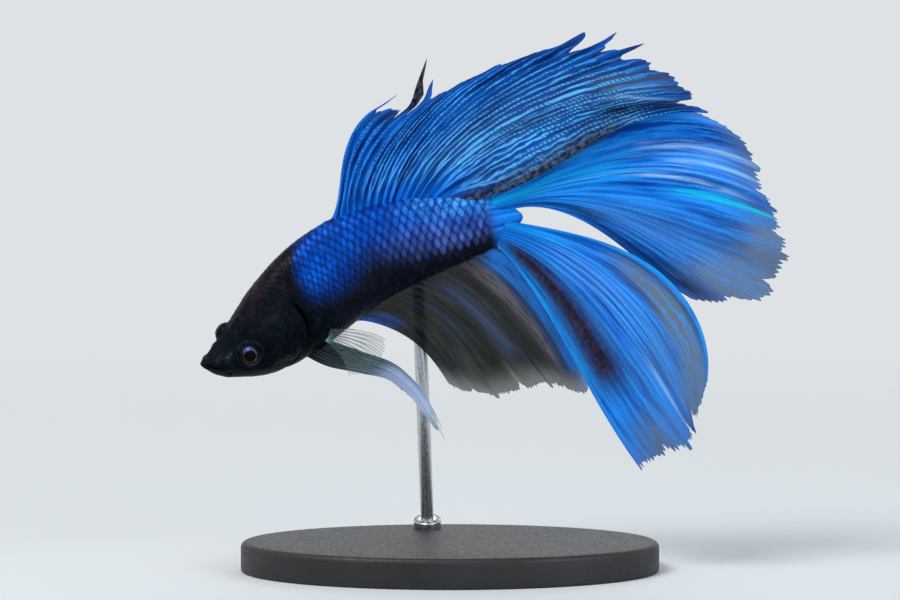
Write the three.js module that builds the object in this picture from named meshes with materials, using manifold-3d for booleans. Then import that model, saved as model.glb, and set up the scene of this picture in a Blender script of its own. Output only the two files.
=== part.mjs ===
// A long-finned male Siamese fighting fish (Betta splendens), life size, as a still museum model on a stand.
// Millimetres, +Z up. The fish looks along -X with its left side towards -Y; the origin is the middle of the
// stand's underside. The fish is first described straight, by its distance s behind the snout, and then posed
// by the pitch, yaw and roll of its spine.
import * as THREE from "three";
import { mergeVertices } from "three/addons/utils/BufferGeometryUtils.js";
import Module from "manifold-3d";

const wasm = await Module();
wasm.setup();

// ---- driving dimensions ----
const STANDARD_LENGTH = 44.5; // snout to the end of the tail stalk, without the tail fin
const GAP = 0.3; // between neighbouring pieces
const SMALLEST_DETAIL = 0.05; // cuts leave nothing finer than this
const SPINE_STEP = 0.25; // integration step along the spine
const BODY_SIDES = 24; // facets round the body
const BODY_RINGS = 32; // rings from snout to tail stalk

// The straight fish: distance behind the snout, then height of the back and depth of the belly from the spine,
// half width, and how far the section is lifted off the spine (the mouth turns up).
const PROFILE = smoothTable([
  [0, 0.4, 0.8, 0.75, 0.35],
  [1.2, 0.6, 2.45, 1.6, 0.1],
  [3.5, 1.4, 4.4, 2.7, 0.1],
  [6.5, 3.75, 6.4, 3.6, 0],
  [10, 5.6, 7.75, 4.3, 0],
  [14, 6.9, 8.3, 4.6, 0],
  [19, 7.4, 7.8, 4.5, 0],
  [25, 7.15, 6.6, 4.0, 0],
  [32, 6.3, 5.5, 3.3, 0],
  [39, 4.85, 4.3, 2.3, 0],
  [43, 4.1, 3.6, 1.6, 0],
  [44.5, 3.8, 3.3, 1.2, 0],
]);
const [BACK, BELLY, HALF_WIDTH, LIFT] = [1, 2, 3, 4];
const KEEL = 1.12; // above 1 the back and belly narrow to a ridge

// The pose: distance behind the snout, then the spine's climb towards the tail, its turn away from the viewer's
// side, and how far the back leans to that side, in degrees.
const POSE = smoothTable([
  [0, 26, 26, 29],
  [8, 32, 24, 29],
  [15, 37, 16, 28],
  [22.5, 30, 7, 21],
  [30.5, 18, 2, 14],
  [38.5, 13, 0, 10],
  [44.5, 10, 0, 8],
]);
const [PITCH, YAW, ROLL] = [1, 2, 3];
const ANCHOR = { s: 22.5, at: new THREE.Vector3(-14.5, -1.0, 40.1) }; // a point of the spine

// Cuts between the parts of the body, as distances behind the snout.
const HEAD_END = 15;
const TRUNK_END = 37;

// Lower jaw, seen from the side in the head's own axes (distance behind the snout, height): mouth slit, then chin.
const JAW_OUTLINE = [
  [-2, 0.75],
  [0.2, 0.35],
  [2.3, -1.3],
  [4.6, -7],
  [-2, -7],
];
const JAW_FRAME_AT = 2;

// Eye: a flattened ball whose axis looks outward, a little up and forward.
const EYE = { s: 5.35, angle: 81, radius: 1.5, depth: 1.35, bulge: 0.95, up: 0.6, forward: 0.5 };

// Gill cover: angle round the body from the back, then where its front and its free rear edge lie.
const GILL_COVER = smoothTable([
  [42, 10.6, 12.5],
  [58, 9.4, 13.6],
  [75, 8.8, 13.9],
  [92, 8.6, 13.8],
  [106, 8.7, 13.1],
  [122, 9.2, 11.2],
]);
const GILL_ANGLES = [42, 122];
const GILL_THICKNESS = 0.9;
const GILL_RAISED = 0.12;

// Unpaired fins. Each row: place along the fin's base from 0 to 1, then the ray's heading above the horizontal
// at its root, middle and tip, the length of the web along it, and how far its tip leans from the root in y.
const FIN_SUNK = 0.5; // the roots start this far inside the body, before the body is cut away from the fin
const FIN_THICKNESS = [0.9, 0.5]; // root and margin
const RAY_TIP = 0.5; // the rays end this far past the web
const WEB_EDGE = 0.1; // and the web between them this far past its last full row
const STREAMER_HALF_WIDTH = 0.16; // share of the space between two rays
const DORSAL_FIN = {
  rays: 17,
  rows: 5,
  base: [24.3, 38.3], // distance behind the snout
  table: smoothTable([
    [0, 68, 79, 32, 16.2, -4],
    [0.17, 86, 66, 36, 15.6, -4.5],
    [0.3, 84, 57, 38, 17.6, -5],
    [0.46, 77, 46, 26, 24.2, -5.5],
    [0.57, 73, 36.5, 24, 31.2, -6],
    [0.68, 67, 32, 20, 34.2, -6],
    [0.79, 58, 26, 10, 36.2, -6],
    [0.88, 46, 20.5, -2, 36.4, -5.5],
    [1, -5, 29, -4, 34.8, -5],
  ]),
  // Bare ray ends: the ray's number from the front, how far it stands out of the web, and its heading.
  streamers: [
    [0, 3.6, 34],
    [3, 7, 73],
    [4, 3.4, 72],
    [9, 2.6, 48],
    [10, 3, 42],
    [11, 3.2, 21],
    [16, 1.8, -4],
  ],
  folds: { count: 3.2, phase: 0.1, depth: 0.5 },
};
const CAUDAL_UPPER = {
  rays: 15,
  rows: 6,
  base: [3.45, 1.1], // height on the end of the tail stalk
  table: smoothTable([
    [0, 84, 17, 2, 31.2, 1],
    [0.14, 27, 21, -22, 35.3, -0.5],
    [0.29, 20, 10, -30, 36.2, -1.5],
    [0.4, 18, 3, -30, 37.0, -1.5],
    [0.53, 18, -8, -25, 38.0, -1.5],
    [0.67, 19, -17, -21, 39.0, -1],
    [0.81, 21, -24, -26, 38.2, -1],
    [0.9, 22, -27, -34, 34.0, -0.5],
    [1, 29, -36, -30, 30.2, 0],
  ]),
  streamers: [
    [3, 1.2, -30],
    [6, 1.2, -30],
    [9, 1, -24],
  ],
  folds: { count: 4, phase: 0.3, depth: 0.7 },
};
const CAUDAL_LOWER = {
  rays: 13,
  rows: 6,
  base: [0.6, -3],
  table: smoothTable([
    [0, -9, -28, -90, 38.0, -3],
    [0.15, -14, -37, -81, 38.3, -3.5],
    [0.35, -12, -44, -72, 37.8, -4],
    [0.67, -22, -55, -54, 36.6, -3.5],
    [1, -48, -60.5, -54, 33.9, -2.5],
  ]),
  streamers: [
    [4, 1, -72],
    [8, 1.2, -58],
    [12, 1, -54],
  ],
  folds: { count: 3, phase: 0.6, depth: 0.6 },
};
const ANAL_FIN = {
  rays: 17,
  rows: 5,
  base: [20.5, 42.7],
  table: smoothTable([
    [0, -2, -36, -57, 16.1, 4],
    [0.16, 2, -46, -46, 19.0, 4.5],
    [0.34, -10, -46, -56, 20.9, 4.5],
    [0.66, -26, -47, -54, 22.3, 4],
    [0.84, -30, -54, -65, 23.2, 3.5],
    [1, -23, -60, -62, 24.2, 3.1],
  ]),
  streamers: [
    [4, 1, -50],
    [9, 1.2, -55],
    [16, 0.8, -63],
  ],
  folds: { count: 4, phase: 0, depth: 0.6 },
};
const [HEADING, LENGTH, LEAN] = [1, 4, 5];

// Pectoral fin, in the body's own axes at its root: the fan runs from the top ray to the lowest one.
const PECTORAL = {
  s: 15.3,
  angle: 123,
  rootWidth: 1.8,
  rays: 10,
  rows: 4,
  sweep: [-20, -80], // degrees above the body's axis, top and lowest ray
  length: [8.2, 8, 5.2], // top, middle and lowest ray
  outward: 34, // degrees away from the flank
  cup: 0.5, // bend of the fan's middle towards the body
};

// Pelvic fins: long narrow feelers under the breast, as a line of points, and their widths along that line.
const PELVIC_LEFT = [
  [-18.8, 2.2, 30.2],
  [-16.0, 1.2, 28.9],
  [-12.0, 0.4, 27.9],
  [-7.9, -0.4, 26.7],
  [-4.8, -1.0, 24.2],
  [-2.6, -1.4, 21.0],
  [-0.5, -1.6, 17.5],
];
const PELVIC_RIGHT = [
  [-19.8, 3.6, 30.9],
  [-16.8, 3.6, 29.2],
  [-13.0, 3.8, 28.1],
  [-9.4, 3.9, 27.0],
  [-6.4, 4.0, 24.8],
  [-4.4, 4.0, 22.2],
];
const PELVIC_WIDTH = [3.3, 3.2, 2.6, 1.8, 1.4, 0.9];
const PELVIC_THICKNESS = 0.6;

// Display stand: an oval base and one slim rod, which rises behind the fish to its far flank.
const BASE = { length: 56, width: 36, height: 4, chamfer: 0.8 };
const ROD_RADIUS = 0.9;
const ROD_FOOT = new THREE.Vector3(-3, 13.5, 1.2);
const ROD_SET_IN = 1.6; // how deep the rod's top sits in the flank
const ROD_TOP = { s: 33, angle: -118 };

// A smooth function through rows of numbers: cubics between neighbouring rows, whose slopes are chords.
function smoothTable(rows) {
  const last = rows.length - 1;
  const slope = (i, k) => {
    const a = rows[Math.max(i - 1, 0)];
    const b = rows[Math.min(i + 1, last)];
    return (b[k] - a[k]) / (b[0] - a[0]);
  };
  return (x, k) => {
    let i = 0;
    while (i < last - 1 && x > rows[i + 1][0]) i += 1;
    const h = rows[i + 1][0] - rows[i][0];
    const t = Math.min(Math.max((x - rows[i][0]) / h, 0), 1);
    const [a, b] = [rows[i][k], rows[i + 1][k]];
    const [da, db] = [slope(i, k) * h, slope(i + 1, k) * h];
    return a + t * (da + t * (3 * (b - a) - 2 * da - db + t * (2 * (a - b) + da + db)));
  };
}

// ---- spine ----
function tailwards(s) {
  const pitch = THREE.MathUtils.degToRad(POSE(s, PITCH));
  const yaw = THREE.MathUtils.degToRad(POSE(s, YAW));
  return new THREE.Vector3(Math.cos(pitch) * Math.cos(yaw), Math.cos(pitch) * Math.sin(yaw), Math.sin(pitch));
}

function walkSpine() {
  const count = Math.round(STANDARD_LENGTH / SPINE_STEP);
  const start = Math.round(ANCHOR.s / SPINE_STEP);
  const points = new Array(count + 1);
  points[start] = ANCHOR.at.clone();
  for (let i = start; i < count; i += 1)
    points[i + 1] = points[i].clone().addScaledVector(tailwards((i + 0.5) * SPINE_STEP), SPINE_STEP);
  for (let i = start; i > 0; i -= 1)
    points[i - 1] = points[i].clone().addScaledVector(tailwards((i - 0.5) * SPINE_STEP), -SPINE_STEP);
  return points;
}
const SPINE = walkSpine();

// The body's own axes at s: tail (towards the tail), back (dorsal) and left, with the spine point as origin.
function frameAt(s) {
  const x = Math.min(Math.max(s / SPINE_STEP, 0), SPINE.length - 1.001);
  const i = Math.floor(x);
  const origin = SPINE[i].clone().lerp(SPINE[i + 1], x - i);
  const tail = tailwards(s);
  const up = new THREE.Vector3(0, 0, 1).addScaledVector(tail, -tail.z).normalize();
  const side = tail.clone().cross(up);
  const roll = THREE.MathUtils.degToRad(POSE(s, ROLL));
  const back = up.clone().multiplyScalar(Math.cos(roll)).addScaledVector(side, Math.sin(roll));
  const left = side.clone().multiplyScalar(Math.cos(roll)).addScaledVector(up, -Math.sin(roll));
  return { origin, tail, back, left };
}

// A point given in the body's own axes at s.
function inBody(s, backwards, leftwards, along = 0) {
  const f = frameAt(s);
  return f.origin
    .clone()
    .addScaledVector(f.back, backwards)
    .addScaledVector(f.left, leftwards)
    .addScaledVector(f.tail, along);
}

// A point of the body's surface: angle 0 is the back, 90 degrees the left flank, 180 the belly.
function bodyPoint(s, angle, grow = 0, along = 0) {
  const c = Math.cos(angle);
  const n = Math.sin(angle);
  const height = (c > 0 ? PROFILE(s, BACK) : PROFILE(s, BELLY)) + grow;
  const width = (PROFILE(s, HALF_WIDTH) + grow) * Math.sign(n) * Math.abs(n) ** KEEL;
  return inBody(s, PROFILE(s, LIFT) + height * c, width, along);
}

// ---- solids ----
function signedVolume(geometry) {
  const position = geometry.attributes.position;
  const corner = (k) => new THREE.Vector3().fromBufferAttribute(position, geometry.index.getX(k));
  let volume = 0;
  for (let k = 0; k < geometry.index.count; k += 3)
    volume += corner(k).dot(corner(k + 1).cross(corner(k + 2))) / 6;
  return volume;
}

// A manifold solid of a closed geometry, with its faces turned outward.
function toSolid(geometry) {
  const plain = geometry.clone();
  plain.deleteAttribute("normal");
  plain.deleteAttribute("uv");
  const merged = mergeVertices(plain, 1e-4);
  const triVerts = new Uint32Array(merged.index.array);
  if (signedVolume(merged) < 0)
    for (let k = 0; k < triVerts.length; k += 3)
      [triVerts[k + 1], triVerts[k + 2]] = [triVerts[k + 2], triVerts[k + 1]];
  return new wasm.Manifold(
    new wasm.Mesh({
      numProp: 3,
      vertProperties: new Float32Array(merged.attributes.position.array),
      triVerts,
    }),
  );
}

function toGeometry(solid) {
  const mesh = solid.getMesh();
  const positions = new Float32Array(mesh.numVert * 3);
  for (let i = 0; i < mesh.numVert; i += 1)
    positions.set(mesh.vertProperties.subarray(i * mesh.numProp, i * mesh.numProp + 3), i * 3);
  const geometry = new THREE.BufferGeometry()
    .setAttribute("position", new THREE.BufferAttribute(positions, 3))
    .setIndex(new THREE.BufferAttribute(mesh.triVerts, 1));
  geometry.computeVertexNormals();
  return geometry;
}

// The biggest of a solid's separate pieces, without the crumbs and slivers a cut can leave.
function mainPiece(solid) {
  const pieces = solid.decompose();
  return pieces.reduce((best, piece) => (piece.volume() > best.volume() ? piece : best)).simplify(SMALLEST_DETAIL);
}

// A closed skin through rings of points, capped by a fan at each end.
function loft(rings) {
  const sides = rings[0].length;
  const centre = (ring) => ring.reduce((sum, p) => sum.add(p), new THREE.Vector3()).divideScalar(sides);
  const points = [...rings.flat(), centre(rings[0]), centre(rings.at(-1))];
  const index = [];
  const at = (i, j) => i * sides + (j % sides);
  for (let j = 0; j < sides; j += 1) {
    for (let i = 0; i < rings.length - 1; i += 1)
      index.push(at(i, j), at(i + 1, j + 1), at(i + 1, j), at(i, j), at(i, j + 1), at(i + 1, j + 1));
    index.push(points.length - 2, at(0, j + 1), at(0, j));
    index.push(points.length - 1, at(rings.length - 1, j), at(rings.length - 1, j + 1));
  }
  return new THREE.BufferGeometry().setFromPoints(points).setIndex(index);
}

// A closed plate between two grids of points of the same size: grid[column][row].
function plate(front, rear) {
  const columns = front.length;
  const rows = front[0].length;
  const points = [...front.flat(), ...rear.flat()];
  const index = [];
  const onFront = (i, j) => i * rows + j;
  const onRear = (i, j) => columns * rows + i * rows + j;
  const quad = (a, b, c, d) => index.push(a, b, c, a, c, d);
  for (let i = 0; i < columns - 1; i += 1)
    for (let j = 0; j < rows - 1; j += 1) {
      quad(onFront(i, j), onFront(i + 1, j), onFront(i + 1, j + 1), onFront(i, j + 1));
      quad(onRear(i, j), onRear(i, j + 1), onRear(i + 1, j + 1), onRear(i + 1, j));
    }
  for (let i = 0; i < columns - 1; i += 1) {
    quad(onFront(i, 0), onRear(i, 0), onRear(i + 1, 0), onFront(i + 1, 0));
    quad(onFront(i + 1, rows - 1), onRear(i + 1, rows - 1), onRear(i, rows - 1), onFront(i, rows - 1));
  }
  for (let j = 0; j < rows - 1; j += 1) {
    quad(onFront(0, j + 1), onRear(0, j + 1), onRear(0, j), onFront(0, j));
    quad(onFront(columns - 1, j), onRear(columns - 1, j), onRear(columns - 1, j + 1), onFront(columns - 1, j + 1));
  }
  return toSolid(new THREE.BufferGeometry().setFromPoints(points).setIndex(index));
}

// A plate of a given thickness about a grid of points; thickness depends on the row.
function thicken(grid, thickness) {
  const normalAt = (i, j) => {
    const left = grid[Math.max(i - 1, 0)][j];
    const right = grid[Math.min(i + 1, grid.length - 1)][j];
    const below = grid[i][Math.max(j - 1, 0)];
    const above = grid[i][Math.min(j + 1, grid[i].length - 1)];
    return right.clone().sub(left).cross(above.clone().sub(below)).normalize();
  };
  const shifted = (side) =>
    grid.map((column, i) =>
      column.map((p, j) => p.clone().addScaledVector(normalAt(i, j), (side * thickness(j)) / 2)),
    );
  return plate(shifted(1), shifted(-1));
}

// ---- body ----
function bodySolid(grow = 0) {
  const rings = [];
  for (let i = 0; i <= BODY_RINGS; i += 1) {
    const s = STANDARD_LENGTH * (i / BODY_RINGS) ** 1.2;
    const along = i === BODY_RINGS ? grow : 0;
    const ring = [];
    for (let j = 0; j < BODY_SIDES; j += 1) ring.push(bodyPoint(s, (2 * Math.PI * j) / BODY_SIDES, grow, along));
    rings.push(ring);
  }
  return toSolid(loft(rings));
}

// The part of a solid before (-1) or behind (1) the cut across the spine at s, with half the gap taken off.
function sideOfCut(solid, s, side) {
  const { origin, tail } = frameAt(s);
  const normal = tail.clone().multiplyScalar(side);
  return solid.trimByPlane(normal.toArray(), normal.dot(origin) + GAP / 2);
}

// A prism with the lower jaw's outline, as wide as the head; shift moves it up and back in the head's axes.
function jawPrism(shift) {
  const side = (leftwards) =>
    JAW_OUTLINE.map(([along, height]) => inBody(JAW_FRAME_AT, height + shift, leftwards, along - JAW_FRAME_AT + shift));
  return toSolid(loft([side(-6), side(6)]));
}

function eyeSolid(side, grow) {
  const angle = THREE.MathUtils.degToRad(EYE.angle) * side;
  const { tail, back, left } = frameAt(EYE.s);
  const axis = left.clone().multiplyScalar(side).addScaledVector(back, EYE.up).addScaledVector(tail, -EYE.forward);
  axis.normalize();
  const centre = bodyPoint(EYE.s, angle).addScaledVector(axis, EYE.bulge - EYE.depth);
  const ball = new THREE.SphereGeometry(1, 16, 10)
    .scale(EYE.radius + grow, EYE.depth + grow, EYE.radius + grow)
    .applyQuaternion(new THREE.Quaternion().setFromUnitVectors(new THREE.Vector3(0, 1, 0), axis))
    .translate(centre.x, centre.y, centre.z);
  return toSolid(ball);
}

// The gill cover's plate on one side, or with grow the pocket it lies in.
function gillCover(side, grow) {
  const spread = THREE.MathUtils.radToDeg(grow / PROFILE(11, HALF_WIDTH));
  const surface = (height) => {
    const columns = [];
    for (let i = 0; i <= 10; i += 1) {
      const angle = THREE.MathUtils.lerp(GILL_ANGLES[0] - spread, GILL_ANGLES[1] + spread, i / 10);
      const column = [];
      for (let j = 0; j <= 4; j += 1) {
        const s = THREE.MathUtils.lerp(GILL_COVER(angle, 1) - grow, GILL_COVER(angle, 2) + grow, j / 4);
        column.push(bodyPoint(s, THREE.MathUtils.degToRad(angle) * side, height));
      }
      columns.push(column);
    }
    return columns;
  };
  return plate(surface(grow > 0 ? 1 : GILL_RAISED), surface(-GILL_THICKNESS - grow));
}

// ---- fins ----
// Points along one ray from its root: rows across the web, then the ray's bare end.
function rayPoints(fin, u, root, extra, extraHeading) {
  const [atRoot, atMiddle, atTip] = [0, 1, 2].map((k) => fin.table(u, HEADING + k));
  const length = fin.table(u, LENGTH) + FIN_SUNK;
  const lean = fin.table(u, LEAN);
  const fold = fin.folds.depth * Math.sin(2 * Math.PI * (fin.folds.count * u + fin.folds.phase));
  const steps = 4 * fin.rows;
  const points = [root.clone()];
  const at = root.clone();
  const stepAlong = (heading, distance) => {
    const angle = THREE.MathUtils.degToRad(heading);
    at.add(new THREE.Vector3(Math.cos(angle), 0, Math.sin(angle)).multiplyScalar(distance));
  };
  for (let k = 0; k < steps; k += 1) {
    const v = (k + 0.5) / steps;
    stepAlong(atRoot * (1 - v) * (1 - 2 * v) + atMiddle * 4 * v * (1 - v) + atTip * v * (2 * v - 1), length / steps);
    if ((k + 1) % 4 === 0) points.push(at.clone());
  }
  stepAlong(extraHeading ?? atTip, extra);
  points.push(at.clone());
  points.forEach((p, k) => {
    const v = k / fin.rows;
    p.y += lean * v + fold * Math.min(v, 1) ** 2;
  });
  return points;
}

// The fin as one web over all its rays: each ray ends in a small point, streamers in a long one.
function finSolid(fin, rootAt) {
  const grid = [];
  const addColumn = (u, extra, heading) => grid.push(rayPoints(fin, u, rootAt(u), extra, heading));
  const spacing = 1 / (fin.rays - 1);
  for (let k = 0; k < fin.rays; k += 1) {
    const u = k * spacing;
    const streamer = fin.streamers.find(([ray]) => ray === k);
    if (streamer && k > 0) addColumn(u - STREAMER_HALF_WIDTH * spacing, WEB_EDGE);
    addColumn(u, streamer ? streamer[1] : RAY_TIP, streamer?.[2]);
    if (streamer && k < fin.rays - 1) addColumn(u + STREAMER_HALF_WIDTH * spacing, WEB_EDGE);
    if (k < fin.rays - 1) addColumn(u + 0.5 * spacing, WEB_EDGE);
  }
  const thickness = (row) => THREE.MathUtils.lerp(...FIN_THICKNESS, Math.min(row / fin.rows, 1));
  return mainPiece(thicken(grid, thickness).subtract(bodyGrown));
}

// Roots of the dorsal and anal fins along the back or the belly, and of the tail fin on the stalk's end.
function rootOnBody(fin, angle) {
  return (u) => bodyPoint(THREE.MathUtils.lerp(...fin.base, u), angle, -FIN_SUNK);
}
function rootOnStalk(fin) {
  return (u) => inBody(STANDARD_LENGTH, THREE.MathUtils.lerp(...fin.base, u), 0, -FIN_SUNK);
}

function pectoralSolid(side) {
  const { tail, back, left } = frameAt(PECTORAL.s);
  const angle = THREE.MathUtils.degToRad(PECTORAL.angle) * side;
  const outward = THREE.MathUtils.degToRad(PECTORAL.outward);
  const [top, middle, low] = PECTORAL.length;
  const grid = [];
  for (let k = 0; k < 2 * PECTORAL.rays - 1; k += 1) {
    const u = k / (2 * PECTORAL.rays - 2);
    const sweep = THREE.MathUtils.degToRad(THREE.MathUtils.lerp(...PECTORAL.sweep, u));
    const direction = tail.clone().multiplyScalar(Math.cos(sweep)).addScaledVector(back, Math.sin(sweep));
    direction.multiplyScalar(Math.cos(outward)).addScaledVector(left, side * Math.sin(outward));
    const root = bodyPoint(PECTORAL.s, angle, -FIN_SUNK).addScaledVector(back, PECTORAL.rootWidth * (0.5 - u));
    const webLength = top * (1 - u) * (1 - 2 * u) + middle * 4 * u * (1 - u) + low * u * (2 * u - 1);
    const length = webLength + FIN_SUNK + (k % 2 === 0 ? RAY_TIP / 2 : 0);
    const column = [];
    for (let j = 0; j <= PECTORAL.rows; j += 1) {
      const v = j / PECTORAL.rows;
      const cup = -side * PECTORAL.cup * Math.sin(Math.PI * u) * v * v;
      column.push(root.clone().addScaledVector(direction, length * v).addScaledVector(left, cup));
    }
    grid.push(column);
  }
  return mainPiece(thicken(grid, () => FIN_THICKNESS[1]).subtract(bodyGrown));
}

function pelvicSolid(line) {
  const curve = new THREE.CatmullRomCurve3(line.map((p) => new THREE.Vector3(...p)), false, "catmullrom", 0.5);
  const across = new THREE.Vector3();
  const steps = 10;
  const grid = [[], [], []];
  for (let j = 0; j <= steps; j += 1) {
    const t = j / steps;
    const along = curve.getTangent(t);
    across.crossVectors(along, new THREE.Vector3(0, -1, 0)).normalize();
    const place = t * (PELVIC_WIDTH.length - 1);
    const i = Math.min(Math.floor(place), PELVIC_WIDTH.length - 2);
    const half = THREE.MathUtils.lerp(PELVIC_WIDTH[i], PELVIC_WIDTH[i + 1], place - i) / 2;
    [-1, 0, 1].forEach((side, k) => grid[k].push(curve.getPoint(t).addScaledVector(across, side * half)));
  }
  return mainPiece(thicken(grid, () => PELVIC_THICKNESS).subtract(bodyGrown));
}

// ---- stand ----
function rodSolid(radius, foot, top) {
  const axis = top.clone().sub(foot);
  const rod = new THREE.CylinderGeometry(radius, radius, axis.length(), 24)
    .applyQuaternion(new THREE.Quaternion().setFromUnitVectors(new THREE.Vector3(0, 1, 0), axis.clone().normalize()))
    .translate(...foot.clone().add(top).divideScalar(2).toArray());
  return toSolid(rod);
}

function baseSolid() {
  const { length, width, height, chamfer } = BASE;
  const outline = [
    new THREE.Vector2(0, 0),
    new THREE.Vector2(length / 2 - chamfer / 2, 0),
    new THREE.Vector2(length / 2, chamfer / 2),
    new THREE.Vector2(length / 2, height - chamfer),
    new THREE.Vector2(length / 2 - chamfer, height),
    new THREE.Vector2(0, height),
  ];
  const disc = new THREE.LatheGeometry(outline, 48).rotateX(Math.PI / 2).scale(1, width / length, 1);
  return toSolid(disc);
}

// ---- assembly ----
const bodyWhole = bodySolid();
const bodyGrown = bodySolid(GAP);
const sides = { left: 1, right: -1 };

const rodTop = bodyPoint(ROD_TOP.s, THREE.MathUtils.degToRad(ROD_TOP.angle));
const rodAxis = rodTop.clone().sub(ROD_FOOT).normalize();
rodTop.addScaledVector(rodAxis, ROD_SET_IN);
const socketTop = rodTop.clone().addScaledVector(rodAxis, GAP);
const socketFoot = ROD_FOOT.clone().addScaledVector(rodAxis, -GAP);
const rodSocket = rodSolid(ROD_RADIUS + GAP, socketFoot, socketTop);

const front = sideOfCut(bodyWhole, HEAD_END, -1);
let head = front.subtract(jawPrism(GAP * 0.75));
for (const side of Object.values(sides))
  head = head.subtract(eyeSolid(side, GAP)).subtract(gillCover(side, GAP));

const trunk = sideOfCut(sideOfCut(bodyWhole, HEAD_END, 1), TRUNK_END, -1).subtract(rodSocket);

const fish = new THREE.Group();
function add(name, solid, color, roughness = 0.45, metalness = 0.1) {
  const mesh = new THREE.Mesh(toGeometry(solid), new THREE.MeshStandardMaterial({ color, roughness, metalness }));
  mesh.name = name;
  fish.add(mesh);
}

add("head", mainPiece(head), 0x10141c);
add("lower_jaw", mainPiece(front.intersect(jawPrism(0))), 0x0e1118);
add("trunk", mainPiece(trunk), 0x143fae);
add("tail_stalk", mainPiece(sideOfCut(bodyWhole, TRUNK_END, 1)), 0x4a5cc4);
for (const [name, side] of Object.entries(sides)) {
  add(`eye_${name}`, eyeSolid(side, 0), 0x07090f, 0.1);
  add(`gill_cover_${name}`, gillCover(side, 0), 0x121a26);
  add(`pectoral_fin_${name}`, pectoralSolid(side), 0x9fb0b8, 0.4);
}
add("dorsal_fin", finSolid(DORSAL_FIN, rootOnBody(DORSAL_FIN, 0)), 0x1f6fe0);
add("caudal_fin_upper", finSolid(CAUDAL_UPPER, rootOnStalk(CAUDAL_UPPER)), 0x1e5fe6);
add("caudal_fin_lower", finSolid(CAUDAL_LOWER, rootOnStalk(CAUDAL_LOWER)), 0x2450c8);
add("anal_fin", finSolid(ANAL_FIN, rootOnBody(ANAL_FIN, Math.PI)), 0x2b2f55);
add("pelvic_fin_left", pelvicSolid(PELVIC_LEFT), 0x7d90ad, 0.4);
add("pelvic_fin_right", pelvicSolid(PELVIC_RIGHT), 0x5c6d88, 0.4);
add("stand_base", mainPiece(baseSolid().subtract(rodSocket)), 0x2a2b2d, 0.6, 0);
add("stand_rod", rodSolid(ROD_RADIUS, ROD_FOOT, rodTop), 0xb9bcc0, 0.3, 1);

export default fish;
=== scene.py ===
import math
from functools import partialmethod
from types import SimpleNamespace as Record

import bpy
import numpy as np
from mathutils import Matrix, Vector


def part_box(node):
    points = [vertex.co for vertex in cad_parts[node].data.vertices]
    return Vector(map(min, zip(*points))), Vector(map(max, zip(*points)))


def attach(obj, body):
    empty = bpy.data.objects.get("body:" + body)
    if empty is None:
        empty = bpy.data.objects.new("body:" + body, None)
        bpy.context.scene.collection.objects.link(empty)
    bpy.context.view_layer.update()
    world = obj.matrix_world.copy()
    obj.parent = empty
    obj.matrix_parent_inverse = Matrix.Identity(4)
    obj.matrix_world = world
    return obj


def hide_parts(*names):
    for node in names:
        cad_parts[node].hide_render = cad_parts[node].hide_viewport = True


# A male Siamese fighting fish (Betta splendens), a life-size museum model on a stand. It is described
# straight, by the distance s behind its snout and the angle round its body (0 is the back, 90 degrees the
# left flank, 180 the belly), and bent by the pitch, yaw and roll of its spine. Lengths are in millimetres.

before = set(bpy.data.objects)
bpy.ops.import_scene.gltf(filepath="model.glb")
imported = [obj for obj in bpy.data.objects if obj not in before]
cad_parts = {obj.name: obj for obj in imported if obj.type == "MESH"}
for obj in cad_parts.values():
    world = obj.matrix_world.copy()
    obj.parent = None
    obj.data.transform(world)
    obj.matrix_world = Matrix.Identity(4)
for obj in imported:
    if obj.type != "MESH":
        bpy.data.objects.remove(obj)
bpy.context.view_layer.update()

MM = 0.001
BODY = "root"
UP = np.array([0.0, 0.0, 1.0])
SIDES = {"left": 1, "right": -1}


# ---- smooth numbers ----
def smooth_table(*rows):
    """A smooth function through rows, each a place and its numbers: cubics whose slopes are chords."""
    rows = np.array(rows, float)
    x = rows[:, 0]
    k = np.arange(len(x))
    before, after = np.maximum(k - 1, 0), np.minimum(k + 1, len(x) - 1)
    slope = (rows[after] - rows[before]) / (x[after] - x[before])[:, None]

    def at(place, column=1):
        i = np.clip(np.searchsorted(x, place) - 1, 0, len(x) - 2)
        gap = x[i + 1] - x[i]
        t = np.clip((place - x[i]) / gap, 0, 1)
        a, b = rows[i, column], rows[i + 1, column]
        da, db = slope[i, column] * gap, slope[i + 1, column] * gap
        return a + t * (da + t * (3 * (b - a) - 2 * da - db + t * (2 * (a - b) + da + db)))

    return at


def step(low, high, x):
    """0 below low, 1 above high, and smooth between them; x may be a shader's value."""
    if isinstance(x, Value):
        return x.remap(low, high)
    t = np.clip((x - low) / (high - low), 0, 1)
    return t * t * (3 - 2 * t)


def plateau(x, start, top, fall, stop):
    """0 outside start to stop, and 1 from top to fall."""
    return step(start, top, x) * (1 - step(fall, stop, x))


def hump(x, width):
    """1 at x = 0, and nearly 0 from twice the width on."""
    return np.exp(-((x / width) ** 2))


def humps(x, rows):
    """Ridges and grooves across x: rows of place, width and height."""
    return sum(height * hump(x - place, width) for place, width, height in rows)


def lerp(a, b, t):
    return a + (b - a) * t


def bend(first, middle, last, t):
    """The parabola through three numbers at t = 0, 0.5 and 1."""
    return first * (1 - t) * (1 - 2 * t) + middle * 4 * t * (1 - t) + last * t * (2 * t - 1)


def unit(vectors):
    return vectors / np.maximum(np.linalg.norm(vectors, axis=-1, keepdims=True), 1e-12)


def ripple(size, seed, *xyz, waves=20):
    """Smooth irregular numbers of about -1 to 1, whose lumps are about size across."""
    points = np.stack(np.broadcast_arrays(*xyz), -1)
    random = np.random.default_rng(seed)
    directions = unit(random.normal(size=(waves, 3))) * random.uniform(0.6, 1.4, (waves, 1)) * math.pi / size
    phases = random.uniform(0, 2 * math.pi, waves)
    return sum(np.sin(points @ way + phase) for way, phase in zip(directions, phases)) / math.sqrt(waves)


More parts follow.
